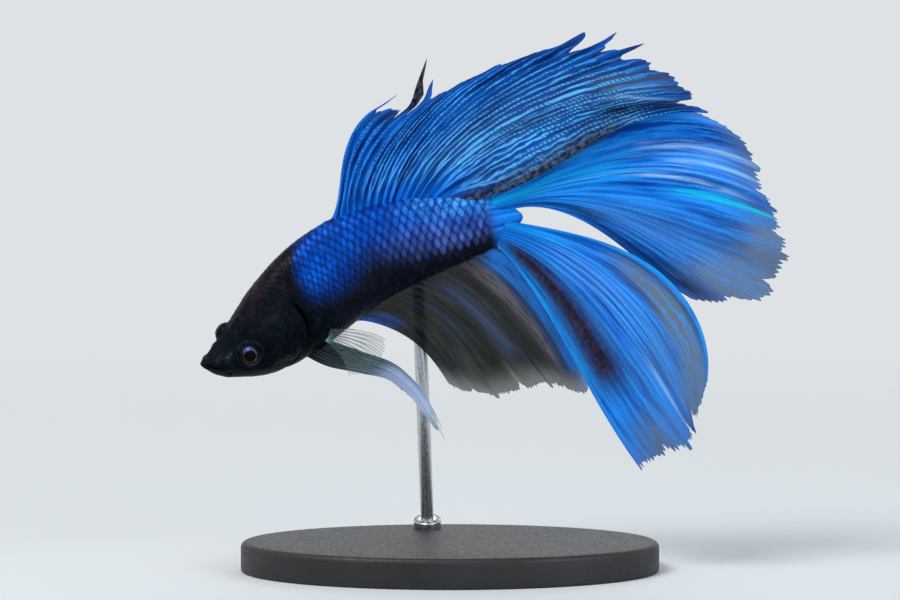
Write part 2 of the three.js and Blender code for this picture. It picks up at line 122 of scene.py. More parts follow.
def round_angles(count):
    return np.arange(count) * 2 * math.pi / count


def from_back(angle):
    """Degrees from the back, on either side."""
    return np.degrees(np.arccos(np.cos(angle)))


# ---- the fish's driving dimensions, as in the CAD ----
STANDARD_LENGTH = 44.5
SPINE_STEP = 0.25
# s, height of the back, depth of the belly, half width, lift of the section off the spine
PROFILE = smooth_table(
    (0, 0.4, 0.8, 0.75, 0.35), (1.2, 0.6, 2.45, 1.6, 0.1), (3.5, 1.4, 4.4, 2.7, 0.1),
    (6.5, 3.75, 6.4, 3.6, 0), (10, 5.6, 7.75, 4.3, 0), (14, 6.9, 8.3, 4.6, 0), (19, 7.4, 7.8, 4.5, 0),
    (25, 7.15, 6.6, 4, 0), (32, 6.3, 5.5, 3.3, 0), (39, 4.85, 4.3, 2.3, 0), (43, 4.1, 3.6, 1.6, 0),
    (44.5, 3.8, 3.3, 1.2, 0),
)
BACK, BELLY, HALF_WIDTH, LIFT = 1, 2, 3, 4
KEEL = 1.12
# s, then pitch, yaw and roll of the spine in degrees
POSE = smooth_table(
    (0, 26, 26, 29), (8, 32, 24, 29), (15, 37, 16, 28), (22.5, 30, 7, 21), (30.5, 18, 2, 14),
    (38.5, 13, 0, 10), (44.5, 10, 0, 8),
)
PITCH, YAW, ROLL = 1, 2, 3
COAT_DEPTH = 0.16  # the scales stand this far out of the skin


def tailwards(s):
    pitch, yaw = np.radians(POSE(s, PITCH)), np.radians(POSE(s, YAW))
    return np.stack([np.cos(pitch) * np.cos(yaw), np.cos(pitch) * np.sin(yaw), np.sin(pitch)], -1)


def walk_spine():
    """Points of the spine from the snout at the origin, one each SPINE_STEP."""
    middles = (np.arange(round(STANDARD_LENGTH / SPINE_STEP)) + 0.5) * SPINE_STEP
    return np.concatenate([np.zeros((1, 3)), np.cumsum(tailwards(middles) * SPINE_STEP, axis=0)])


SPINE = walk_spine()


def frame_at(s):
    """The spine's point at s, and the body's directions there to the tail, the back and the left."""
    s = np.asarray(s, float)
    x = np.clip(s / SPINE_STEP, 0, len(SPINE) - 1.001)
    i = x.astype(int)
    tail = tailwards(s)
    origin = SPINE[i] + (SPINE[i + 1] - SPINE[i]) * (x - i)[..., None]
    origin = origin + tail * np.maximum(s - STANDARD_LENGTH, 0)[..., None]
    up = unit(UP - tail * tail[..., 2:])
    side = np.cross(tail, up)
    roll = np.radians(POSE(s, ROLL))[..., None]
    return origin, tail, up * np.cos(roll) + side * np.sin(roll), side * np.cos(roll) - up * np.sin(roll)


def body_point(s, angle, grow=0.0):
    """A point of the body's outer surface; angle in radians."""
    c, n = np.cos(angle), np.sin(angle)
    height = np.where(c > 0, PROFILE(s, BACK), PROFILE(s, BELLY)) + grow
    width = (PROFILE(s, HALF_WIDTH) + grow) * np.sign(n) * np.abs(n) ** KEEL
    origin, _, back, left = frame_at(s)
    return origin + back * (PROFILE(s, LIFT) + height * c)[..., None] + left * width[..., None]


def body_normal(s, angle):
    """The surface's outward direction, from neighbouring points."""
    along = body_point(s + 0.1, angle) - body_point(s - 0.1, angle)
    return unit(np.cross(body_point(s, angle + 0.02) - body_point(s, angle - 0.02), along))


def place_spine():
    """Shift of the spine at which the body lies where the frame's solids of it do."""
    boxes = [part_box(name) for name in ("head", "lower_jaw", "trunk", "tail_stalk")]
    lowest, highest = np.min([b[0] for b in boxes], axis=0), np.max([b[1] for b in boxes], axis=0)
    s, angle = np.meshgrid(np.linspace(0, STANDARD_LENGTH, 90), np.linspace(0, 2 * math.pi, 97))
    outline = body_point(s, angle).reshape(-1, 3)
    return (lowest + highest) / 2 / MM - (outline.min(0) + outline.max(0)) / 2


SPINE += place_spine()


# ---- meshes ----
def add_to_scene(name, data):
    made = bpy.data.objects.new(name, data)
    bpy.context.scene.collection.objects.link(made)
    return made


def make_mesh(name, points, faces, look):
    """A smooth mesh object; faces is a list of arrays of point numbers."""
    mesh = bpy.data.meshes.new(name)
    mesh.from_pydata(points.tolist(), [], [face for part in faces for face in part.tolist()])
    mesh.polygons.foreach_set("use_smooth", np.ones(len(mesh.polygons), bool))
    mesh.materials.append(look.material)
    return add_to_scene(name, mesh)


def make_piece(name, points, faces, look, nodes, values, uv=None):
    """A mesh in millimetres that rides on the fish; values are named numbers of its points for its look."""
    made = make_mesh(name, points * MM, faces, look)
    mesh = made.data
    for key, numbers in values.items():
        numbers = np.ravel(numbers).astype(np.float32)
        mesh.attributes.new(key, "FLOAT", "POINT").data.foreach_set("value", numbers)
    if uv is not None:
        corner = np.empty(len(mesh.loops), np.int32)
        mesh.loops.foreach_get("vertex_index", corner)
        mesh.uv_layers.new(name="OFBake").data.foreach_set("uv", uv[corner].astype(np.float32).ravel())
    mesh.update()
    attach(made, BODY)
    if nodes:
        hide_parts(*nodes)


def grid_faces(columns, rows, closed=False):
    """Quads over columns of points; closed joins the last row to the first."""
    i, j = np.meshgrid(np.arange(columns - 1), np.arange(rows if closed else rows - 1), indexing="ij")
    k = (j + 1) % rows
    quads = np.stack([i * rows + j, (i + 1) * rows + j, (i + 1) * rows + k, i * rows + k], -1)
    return quads.reshape(-1, 4)


def fan(centre, ring):
    """Triangles from a centre point to a ring of point numbers."""
    return np.stack([np.full(len(ring), centre), ring, np.roll(ring, -1)], -1)


def make_rings(name, grid, turned, look, nodes, values):
    """A piece of rings of points, closed at both ends; turned is -1 where they run the other way round."""
    rings, turns = grid.shape[:2]
    count, ring = rings * turns, np.arange(turns)
    points = np.concatenate([grid.reshape(-1, 3), grid[:1].mean(1), grid[-1:].mean(1)])
    end = fan(count + 1, ring + count - turns)[:, [0, 2, 1]]
    faces = [part[:, ::turned] for part in (grid_faces(rings, turns, closed=True), fan(count, ring), end)]
    values = {key: np.concatenate([v.ravel(), v[0, :1], v[-1, :1]]) for key, v in values.items()}
    make_piece(name, points, faces, look, nodes, values)


def make_plate(name, middle, thickness, look, node, values):
    """A closed plate about a grid of points; thickness and values have a number for each of them."""
    columns, rows = middle.shape[:2]
    normal = unit(np.cross(np.gradient(middle, axis=0), np.gradient(middle, axis=1)))
    half = normal * (thickness / 2)[..., None]
    points = np.concatenate([(middle + half).reshape(-1, 3), (middle - half).reshape(-1, 3)])
    number = np.arange(columns * rows).reshape(columns, rows)
    rim = np.concatenate([number[:, 0], number[-1, 1:], number[-2::-1, -1], number[0, -2:0:-1]])
    following = np.roll(rim, -1)
    edge = np.stack([following, rim, rim + number.size, following + number.size], -1)
    front = grid_faces(columns, rows)
    values = {key: np.tile(np.broadcast_to(v, number.shape).ravel(), 2) for key, v in values.items()}
    make_piece(name, points, [front, front[:, ::-1] + number.size, edge], look, [node], values)


# ---- materials; colours are written as on a screen, from 0 to 255 ----
def srgb(red, green, blue):
    """A screen colour as the linear colour that shaders take."""
    shares = [v / 255 for v in (red, green, blue)]
    return (*[v / 12.92 if v <= 0.04045 else ((v + 0.055) / 1.055) ** 2.4 for v in shares], 1.0)


class Value:
    """The output of a shader's node; arithmetic on it adds nodes."""

    def __init__(self, shader, socket):
        self.shader, self.socket = shader, socket

    def math(self, operation, *others):
        return self.shader.node("Math", [self, *others], operation=operation)

    __add__ = partialmethod(math, "ADD")
    __sub__ = partialmethod(math, "SUBTRACT")
    __mul__ = partialmethod(math, "MULTIPLY")
    __truediv__ = partialmethod(math, "DIVIDE")
    __abs__ = partialmethod(math, "ABSOLUTE")

    def __rsub__(self, other):
        return self.shader.node("Math", [other, self], operation="SUBTRACT")

    def remap(self, low, high, out_low=0, out_high=1):
        """low to high becomes out_low to out_high, smoothly and without passing them."""
        ends = [low, high, out_low, out_high]
        return self.shader.node("MapRange", [self, *ends], interpolation_type="SMOOTHSTEP")

    def band(self, middle, width):
        """1 at middle, 0 further than width away."""
        return abs(self - middle).remap(0, width, 1, 0)

    def ramp(self, *stops):
        """A colour for each value, from (place, colour) pairs."""
        colour = self.shader.node("ValToRGB", [self])
        elements = colour.socket.node.color_ramp.elements
        while len(elements) < len(stops):
            elements.new(0.5)
        for element, (place, tone) in zip(elements, stops):
            element.position, element.color = place, srgb(*tone)
        return colour


class Shader:
    """A material of one Principled shader."""

    def __init__(self, name, roughness, specular, **settings):
        self.material = bpy.data.materials.new(name)
        self.material.use_nodes = True
        self.tree = self.material.node_tree
        self.principled = self.tree.nodes["Principled BSDF"]
        settings.update(Roughness=roughness, Specular_IOR_Level=specular)
        for key, value in settings.items():
            self.set(key.replace("_", " "), value)

    def join(self, value, socket):
        """Links a value, or the mesh's value of that name, to a socket, or writes a constant there."""
        value = self.read(value) if isinstance(value, str) else value
        if isinstance(value, Value):
            self.tree.links.new(value.socket, socket)
        else:
            socket.default_value = srgb(*value) if socket.type == "RGBA" else value

    def set(self, socket, value):
        self.join(value, self.principled.inputs[socket])

    def node(self, kind, inputs=(), output=0, **settings):
        made = self.tree.nodes.new("ShaderNode" + kind)
        for key, value in settings.items():
            setattr(made, key, value)
        for key, value in inputs.items() if isinstance(inputs, dict) else enumerate(inputs):
            self.join(value, made.inputs[key])
        return Value(self, made.outputs[output])

    def read(self, *names):
        """Values that the mesh's points hold."""
        found = [self.node("Attribute", attribute_name=name, output="Fac") for name in names]
        return found if len(found) > 1 else found[0]

    def mix(self, share, a, b):
        return self.node("Mix", {0: share, 6: a, 7: b}, output=2, data_type="RGBA")

    def paint(self, colour, share=None):
        """Sets the base colour, or lays a colour over it by its share."""
        self.colour = colour if share is None else self.mix(share, self.colour, colour)
        self.set("Base Color", self.colour)

    def point(self, x=0, y=0, z=0):
        return self.node("CombineXYZ", [x, y, z])

    def place(self):
        """The point in metres, in the row frame."""
        return self.node("TexCoord", output="Object")

    def noise(self, scale, detail=3, roughness=0.55, at=None):
        inputs = {"Vector": at or self.place(), "Scale": scale, "Detail": detail, "Roughness": roughness}
        return self.node("TexNoise", inputs)

    def bump(self, height, distance, strength):
        """Sets the surface's relief; distance in millimetres."""
        inputs = {"Strength": strength, "Distance": distance * MM, "Height": height}
        self.set("Normal", self.node("Bump", inputs))


# ---- the head's features ----
EYE = Record(s=5.35, radius=1.5, depth=1.35, up=0.6, forward=0.5)
LID_AT = 1.33  # distance from the eye's axis where the skin meets the eyeball
# Ridges and grooves of the socket's rim, and the painted highlights along its ridges, as humps by the
# distance outside that.
LID_RIDGES = [(0.14, 0.12, 0.07), (0.28, 0.1, -0.06), (0.41, 0.16, 0.09), (0.71, 0.16, -0.05)]
LID_HIGHLIGHTS = [(0.14, 0.1, 0.15), (0.41, 0.1, 1)]
HEAD_FRAME_AT = 2  # the mouth is drawn in the body's axes at this s: distance behind the snout, then height
MOUTH = [(-1, 0.5), (0.2, 0.35), (2.1, -0.95)]
JAW_CREASE = [(2.1, -0.95), (2.7, -2.2), (3.6, -3.6)]
# degrees from the back, then s of the gill cover's front and of its free rear edge
GILL_COVER = smooth_table(
    (42, 10.6, 12.5), (58, 9.4, 13.6), (75, 8.8, 13.9), (92, 8.6, 13.8), (106, 8.7, 13.1), (122, 9.2, 11.2),
    (150, 8.4, 9.3), (180, 7.6, 8.4),
)
COVER_FRONT, COVER_REAR = 1, 2
# Its ridges and grooves, as humps by the distance behind its front, a middle arc and its rear edge.
COVER_RIDGES = (
    [(0.3, 0.2, 0.09), (0.75, 0.2, -0.07)], [(0, 0.18, 0.07), (0.4, 0.18, -0.05)], [(-0.25, 0.16, 0.05)],
)
# painted highlights along the gill cover's rear edge and ridges
COVER_HIGHLIGHT_ARCS = [(-0.6, 0.3, 1), (-1.6, 0.4, 0.7), (-2.9, 0.4, 0.8)]  # paler arcs, by that behind its rear edge
# s, degrees and size; and for the painted highlights by the nostrils, the strength of the highlight
NOSTRILS = [(3, 51, 1.3), (4.1, 50, 0.8)]
NOSTRIL_HIGHLIGHTS = [(2.75, 54, 0.24, 0.9), (3.05, 50.5, 0.2, 0.6), (3.4, 47, 0.17, 0.45)]
PORE_PAIRS = 9
PORE = [(0.15, 0.06, 0.03), (0, 0.07, -0.1)]  # humps by the distance from the pore's middle
NOSE_LENGTH = 0.06
EYE_BACK, FAR = -1.4, 9  # points lower than this along an eye's axis count as far from it
TAIL_BASE = 1.2  # length of the base that thins into the tail fin
HEEL = Record(degrees=86, width=21, reach=1.3)  # the web between the roots of the tail's lobes
TAIL_ROOT = 1.6  # length of the stalk's end that the tail's ray roots cover
FIN_SHEATHS = [(0, 23.4, 39), (180, 20.5, 43)]  # degrees, then s where a fin's raised base starts and ends


def eye_axes(name):
    """Centre of an eyeball and the direction it looks in."""
    _, tail, back, left = frame_at(EYE.s)
    axis = left * SIDES[name] + back * EYE.up - tail * EYE.forward
    return np.mean(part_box("eye_" + name), axis=0) / MM, unit(axis)


def from_eye(points, name):
    """Distance of points from an eye's axis, and their height along it."""
    centre, axis = eye_axes(name)
    offset = points - centre
    height = offset @ axis
    away = np.linalg.norm(offset - height[..., None] * axis, axis=-1)
    return np.where(height > EYE_BACK, away, FAR), height


def from_eyes(points):
    return np.minimum(*[from_eye(points, name)[0] for name in SIDES])


def line_distance(x, y, line):
    """Distance in a plane from (x, y) to the nearest part of a line of points."""
    best = np.full(np.shape(x), np.inf)
    for (ax, ay), (bx, by) in zip(line, line[1:]):
        dx, dy = bx - ax, by - ay
        t = np.clip(((x - ax) * dx + (y - ay) * dy) / (dx * dx + dy * dy), 0, 1)
        best = np.minimum(best, np.hypot(x - ax - t * dx, y - ay - t * dy))
    return best


def skin_point(s, angle):
    """The skin before its features: under the coat, round at the snout, thinning into the tail fin."""
    on_body = np.maximum(s, 0)
    origin, tail, back, left = frame_at(on_body)
    centre = origin + back * PROFILE(on_body, LIFT)[..., None]
    nose = np.sqrt(1 - np.clip(-s / NOSE_LENGTH, 0, 1) ** 2)
    offset = (body_point(on_body, angle, -COAT_DEPTH) - centre) * nose[..., None]
    offset = offset + tail * np.minimum(s, 0)[..., None]
    end = step(STANDARD_LENGTH - 1.5, STANDARD_LENGTH + TAIL_BASE, s)
    sideways = (offset * left).sum(-1)
    heel = HEEL.reach * hump(from_back(angle) - HEEL.degrees, HEEL.width)
    backwards = end * (0.9 * np.sin(angle) ** 2 + heel)
    return centre + offset - left * (sideways * 0.8 * end)[..., None] + tail * backwards[..., None]


def from_pair(points, s, degrees):
    """Distance of points to the nearer of two places of the skin, one on each side."""
    pair = [skin_point(s, math.radians(degrees) * side) for side in SIDES.values()]
    return np.minimum(*[np.linalg.norm(points - place, axis=-1) for place in pair])


def mouth_relief(points):
    """Lips on both sides of the mouth's slit, and the crease behind the jaw."""
    origin, tail, back, _ = frame_at(HEAD_FRAME_AT)
    along, height = (points - origin) @ tail + HEAD_FRAME_AT, (points - origin) @ back
    slit, crease = line_distance(along, height, MOUTH), line_distance(along, height, JAW_CREASE)
    lips = 0.15 * hump(slit - 0.3, 0.17) * (1 - step(1.8, 3.2, along)) - 0.45 * hump(slit, 0.1)
    return lips - 0.1 * hump(crease, 0.16) * step(-3.4, -2.2, height)


def gill_relief(s, degrees):
    """The gill cover's raised plate with its ridges, and the open slit behind it."""
    front, rear = GILL_COVER(degrees, COVER_FRONT), GILL_COVER(degrees, COVER_REAR)
    behind, arc = s - rear, s - lerp(front, rear, 0.66)
    share = step(50, 74, degrees) * (1 - 0.75 * step(116, 140, degrees))
    plate = 0.2 * step(front, front + 1.4, s) * (1 - step(-0.04, 0.06, behind))
    slit = 0.5 * hump(behind - 0.28, 0.22) + 0.14 * plateau(behind, 0, 0.3, 0.7, 2.4)
    ridges = sum(humps(x, rows) for x, rows in zip((s - front, arc, behind), COVER_RIDGES))
    return share * (plate - slit + ridges * (1 - step(-0.3, 0, behind)))


def eye_relief(points):
    """The socket, the soft rim that holds the eyeball, and the rings round it."""
    total = 0
    for name in SIDES:
        away, height = from_eye(points, name)
        ball = EYE.depth * np.sqrt(np.clip(1 - (away / EYE.radius) ** 2, 0, 1))
        socket = np.minimum(ball - 0.2 - height, 0) * (1 - step(LID_AT - 0.1, LID_AT + 0.04, away))
        total = total + socket + humps(away - LID_AT, LID_RIDGES) * step(-0.05, 0.05, away - LID_AT)
    return total


def pit_relief(points):
    """Nostrils, and rows of the small pores of the head's sense organs, over the eyes and down the cheeks."""
    total = 0
    for s, degrees, size in NOSTRILS:
        away = from_pair(points, s, degrees)
        total = total + size * (0.16 * hump(away, 0.55) - 0.24 * hump(away - 0.05, 0.13 * size))
    for k in range(PORE_PAIRS):
        for place in ((3.2 + 1.25 * k, 28 + 2.2 * k), (7.4 + 0.28 * k, 62 + 8.5 * k)):
            away = from_pair(points, *place)
            total = total + humps(away, PORE)
    return total


def skin_relief(s, angle, points):
    """How far the skin's features stand out of skin_point, or into it."""
    degrees = from_back(angle)
    total = mouth_relief(points) + gill_relief(s, degrees) + eye_relief(points) + pit_relief(points)
    xyz = np.moveaxis(points, -1, 0)
    total += (1 - step(14, 17, s)) * (0.05 * ripple(2.2, 1, *xyz) + 0.018 * ripple(0.5, 2, *xyz))
    total += 0.3 * hump(s - 15.6, 1.2) * hump(degrees - 122, 12)  # the root of the pectoral fin
    for at_degrees, start, stop in FIN_SHEATHS:
        total += 0.22 * hump(degrees - at_degrees, 9) * plateau(s, start - 1, start + 0.6, stop, stop + 2)
    return total


# ---- skin and its markings, the same on the scales ----
SKIN_TURNS = 288
FINE_TO, FINE_STEP = 16, 0.075  # the skin's rings are closer on the head, up to this s
TRUNK_RINGS = 96
# s, then the angle in degrees down to which the flank is blue
BLUE_DOWN_TO = smooth_table(
    (14, 70), (17, 80), (20, 92), (23, 92), (26.5, 88), (29, 95), (32, 104), (35, 110), (38, 117), (41, 112),
    (47, 104),
)
# degrees, then s at which the dark head ends
HEAD_DOWN_TO = smooth_table(
    (0, 20.5), (14, 18.2), (30, 16.8), (55, 15.9), (85, 15.8), (110, 16), (180, 16),
)


def markings(s, angle):
    """Shares of the fish's colour areas at these places."""
    degrees = from_back(angle)
    start, edge = HEAD_DOWN_TO(degrees), BLUE_DOWN_TO(s)
    blue = step(start - 0.8, start + 1.8, s) * (1 - step(edge - 26, edge + 14, degrees))
    return {
        "along": s,
        "around": degrees,
        "blue": blue * (1 - 0.5 * hump(s - 27, 5) * step(52, 88, degrees)),
        "azure": step(29, 39, s) * (1 - step(34, 80, degrees)),
        "lilac": 0.75 * step(23, 33, s) * step(46, 96, degrees) * (1 - 0.6 * step(42, 44, s)),
        "russet": hump(degrees, 38) * plateau(s, 6, 10, 22, 25),
    }


def flesh_colours(look):
    """The colour of bare skin and of a scale's bright patch, with the markings."""
    blotch, fine = look.noise(420, 4), look.noise(1900)
    dark = blotch.ramp(
        (0.3, (3, 9, 15)), (0.45, (3, 10, 17)), (0.55, (6, 13, 23)), (0.64, (6, 22, 32)), (0.75, (26, 38, 54))
    )
    dark = look.mix(look.read("russet") * blotch.remap(0.42, 0.6, 0.05, 0.65), dark, (42, 22, 33))
    belly = fine.ramp((0.35, (5, 10, 20)), (0.65, (20, 22, 38)))
    dark = look.mix(look.read("along").remap(15, 19), dark, belly)
    royal = blotch.ramp((0.35, (0, 68, 180)), (0.65, (0, 104, 234)))
    azure = fine.ramp((0.35, (24, 122, 240)), (0.65, (100, 190, 255)))
    lilac = blotch.ramp((0.35, (62, 106, 206)), (0.65, (124, 142, 232)))
    bright = look.mix("azure", royal, azure)
    return dark, look.mix("lilac", bright, lilac)


def skin_material():
    look = Shader("skin", 0.5, 0.035, Coat_Weight=0.02, Coat_Roughness=0.2)
    dark, bright = flesh_colours(look)
    look.paint(dark)
    look.paint(bright, look.read("blue") * 0.55)
    strands = look.noise(1, 2, at=look.point(look.read("around") * 0.11))
    look.paint(strands.ramp((0.42, (6, 88, 196)), (0.58, (32, 146, 248))), "tail_root")
    rough = look.noise(1400).remap(0.38, 0.6, 0.15, 0.8)
    # painted highlight along the ridges of the eye sockets' rims
    look.paint((66, 68, 104), look.read("rings") * rough * 0.5)
    # painted highlight on the bumps of the nostrils
    look.paint((84, 96, 116), look.read("nostril") * rough)
    # painted highlight: pale teal arcs on the gill cover
    look.paint((70, 104, 122), look.read("cover") * look.noise(900).remap(0.45, 0.65) * 0.7)
    # painted shade: near black in the gill slits, the snout's hollows and the eye sockets
    look.paint((7, 9, 13), "deep")
    look.bump(look.noise(1300) + look.noise(5200, 3, 0.7) * 0.4, 0.09, 0.6)
    return look


def build_skin():
    nose = -NOSE_LENGTH * np.sin(np.linspace(1.45, 0.15, 8))
    trunk = np.linspace(FINE_TO, STANDARD_LENGTH + TAIL_BASE, TRUNK_RINGS)
    s = np.concatenate([nose, np.arange(0, FINE_TO, FINE_STEP), trunk])
    s, angle = np.meshgrid(s, round_angles(SKIN_TURNS), indexing="ij")
    plain = skin_point(s, angle)
    relief = skin_relief(s, angle, plain)
    degrees, eye = from_back(angle), from_eyes(plain)
    # the upper side of the head, where the sockets' rims get more painted highlight
    above = step(-1.3, 1.5, plain[..., 2] - eye_axes("left")[0][2])
    behind = s - GILL_COVER(degrees, COVER_REAR)
    on_cover = plateau(degrees, 54, 76, 112, 128)
    # the open gill slit behind the cover, painted dark as shade
    slit = on_cover * plateau(behind, -0.05, 0.2, 0.9, 1.7)
    # painted highlights by the nostrils
    nostril_highlights = [strength * hump(from_pair(plain, *at), size) for *at, size, strength in NOSTRIL_HIGHLIGHTS]
    values = markings(s, angle) | {
        # painted highlight on the crests of the socket's rim, stronger on its upper side
        "rings": humps(eye - LID_AT, LID_HIGHLIGHTS) * lerp(0.2, 0.8, above),
        "nostril": np.max(nostril_highlights, axis=0),
        "tail_root": step(-1.4, -0.4, s - STANDARD_LENGTH) * (1 - 0.6 * step(100, 130, degrees)),
        # painted highlight along the gill cover's rear edge and ridges
        "cover": on_cover * humps(behind, COVER_HIGHLIGHT_ARCS),
        # painted shade in the recesses: the gill slit, the hollows of the snout (mouth groove and nostril
        # pits) and the socket round each eyeball
        "deep": np.clip(slit + step(0.1, 0.3, -relief) * (s < 5) + (eye < LID_AT + 0.05), 0, 1),
    }
    grid = plain + body_normal(np.maximum(s, 0), angle) * relief[..., None]
    flesh = ("head", "lower_jaw", "gill_cover_left", "gill_cover_right", "trunk", "tail_stalk")
    make_rings("skin", grid, -1, skin_material(), flesh, values)


# ---- eyes ----
EYE_RINGS, EYE_TURNS = 56, 96
PUPIL, COPPER = 0.79, 0.885  # radii
# depth of the groove round the lens, as humps by the distance from the eye's axis
GROOVE = [(COPPER + 0.05, 0.07, 0.05), (PUPIL - 0.1, 0.2, -0.03)]
# Each eye's painted glint, the lamp's highlight on the cornea laid in blue over the upper iris: the turn
# about its axis where it lies, and how strongly it and the copper ring show, painted weaker on the far eye.
EYE_GLINT = {"left": (math.radians(72), 1.0), "right": (math.radians(108), 0.3)}


def eye_material():
    look = Shader("eye", 0.4, 0.05, Coat_Weight=0.04, Coat_Roughness=0.02, Coat_IOR=1.34)
    away, gleam = look.read("away", "gleam")
    streaks = look.noise(5, 4, at=look.point(look.read("turn") * 3, 0, away))
    iris = (away / EYE.radius).ramp(
        (0, (3, 4, 9)), (0.58, (4, 5, 10)), (0.66, (8, 9, 15)), (0.74, (5, 7, 11)), (0.8, (13, 16, 25)),
        (0.87, (6, 8, 12)), (1, (4, 7, 11)),
    )
    look.paint(iris)
    look.paint((26, 34, 48), streaks.remap(0.4, 0.7) * 0.15)
    ring = away.band(COPPER, 0.08)
    copper = streaks.ramp((0.35, (112, 88, 82)), (0.65, (206, 182, 172)))
    # the copper ring, painted weaker on the far eye by its painted light
    look.paint(copper, ring * look.noise(750, 2).remap(0.4, 0.58, 0.1, 1) * gleam)
    look.paint((1, 1, 4), away.remap(PUPIL - 0.03, PUPIL + 0.05, 1, 0))
    # painted highlight: the lamp's glint on the cornea, in blue over the upper iris
    look.paint(streaks.ramp((0.35, (36, 58, 132)), (0.6, (102, 130, 204))), "shine")
    look.set("Metallic", ring * gleam * 0.3)
    return look


def build_eye(name, look):
    """An eyeball turned about its axis: a flattened ball with a shallow ring cut round the lens."""
    centre, axis = eye_axes(name)
    side = unit(np.cross(axis, UP))
    over = np.cross(side, axis)
    lean = np.linspace(0.02, math.pi - 0.02, EYE_RINGS)
    lean, turn = np.meshgrid(lean, round_angles(EYE_TURNS), indexing="ij")
    away, in_front = EYE.radius * np.sin(lean), np.cos(lean) > 0
    height = EYE.depth * np.cos(lean) - in_front * humps(away, GROOVE)
    flat = away[..., None] * (np.cos(turn)[..., None] * side + np.sin(turn)[..., None] * over)
    at, gleam = EYE_GLINT[name]
    aside = np.degrees(np.abs(np.angle(np.exp(1j * (turn - at)))))
    values = {
        "away": np.where(in_front, away, EYE.radius),
        "turn": np.abs(np.sin(turn / 2)),
        # the eye's painted light: full on the near eye, weaker on the far one
        "gleam": np.full(away.shape, gleam),
        # painted glint: a band round the lens, at the turn given for this eye
        "shine": gleam * in_front * hump(away - 0.97, 0.17) * hump(aside, 30),
    }
    grid = centre + flat + height[..., None] * axis
    make_rings("eyeball_" + name, grid, 1, look, ["eye_" + name], values)


build_skin()
eye_look = eye_material()
for eye_name in SIDES:
    build_eye(eye_name, eye_look)


# ---- scales ----
# s, then the spacing of like scales along the body and around it
SCALE_SIZE = smooth_table(
    (5, 0.62, 0.85), (12, 0.72, 1.1), (16, 0.84, 1.5), (24, 0.98, 1.9), (33, 1.14, 2.2), (42, 1.1, 2.1),
    (47, 0.9, 1.8),
)
SPACING_ALONG, SPACING_AROUND = 1, 2
FIRST_SCALE = 5.5  # s of the foremost scales
BARE_ROUND_EYE = 2.75
LATERAL_LINE = math.radians(82)
SCALE_RINGS = [(0.42, 1), (0.74, 0.93), (0.93, 0.7), (1, 0.12), (1, -0.9)]  # radius, share of the height
SCALE_TURNS = 18
UV_PATCH = 0.0015  # half size of a scale's own patch of the bake's map


def girth_at(s):
    """Angles from the back to the belly, and how far round the body each is from the lateral line."""
    angles = np.linspace(0, math.pi, 181)
    steps = np.linalg.norm(np.diff(skin_point(np.full(181, s), angles), axis=0), axis=1)
    distance = np.concatenate([[0], np.cumsum(steps)])
    return angles, distance - np.interp(LATERAL_LINE, angles, distance)


def bare(s, degrees, points):
    """True where the skin has no scales: the snout, the throat, the eyes and the gill slits."""
    behind = s - GILL_COVER(degrees, COVER_REAR)
    slit = (behind > -0.35) & (behind < 1.35) & (degrees > 52) & (degrees < 130)
    snout = s < FIRST_SCALE + 3.2 * step(40, 110, degrees)
    return (from_eyes(points) < BARE_ROUND_EYE) | slit | snout | ((s < 14.5) & (degrees > 122))


def lay_scales():
    """Roots of one flank's scales: s, angle, radians for each millimetre round the body, and cell sizes."""
    roots = []
    s, column = FIRST_SCALE, 0
    while s < STANDARD_LENGTH - TAIL_ROOT:
        along, around = float(SCALE_SIZE(s, SPACING_ALONG)), float(SCALE_SIZE(s, SPACING_AROUND))
        angles, distance = girth_at(s)
        shift = (column % 2) / 2
        row = (math.ceil(distance[0] / around - shift) + shift) * around
        while row < distance[-1] - 0.1:
            if row > distance[0] + 0.1:
                before, angle, after = np.interp([row - 0.1, row, row + 0.1], distance, angles)
                roots.append((s, angle, (after - before) / 0.2, along, around))
            row += around
        s += along / 2
        column += 1
    roots = np.array(roots)
    s, angle = roots.T[:2]
    return roots[~bare(s, np.degrees(angle), skin_point(s, angle))]


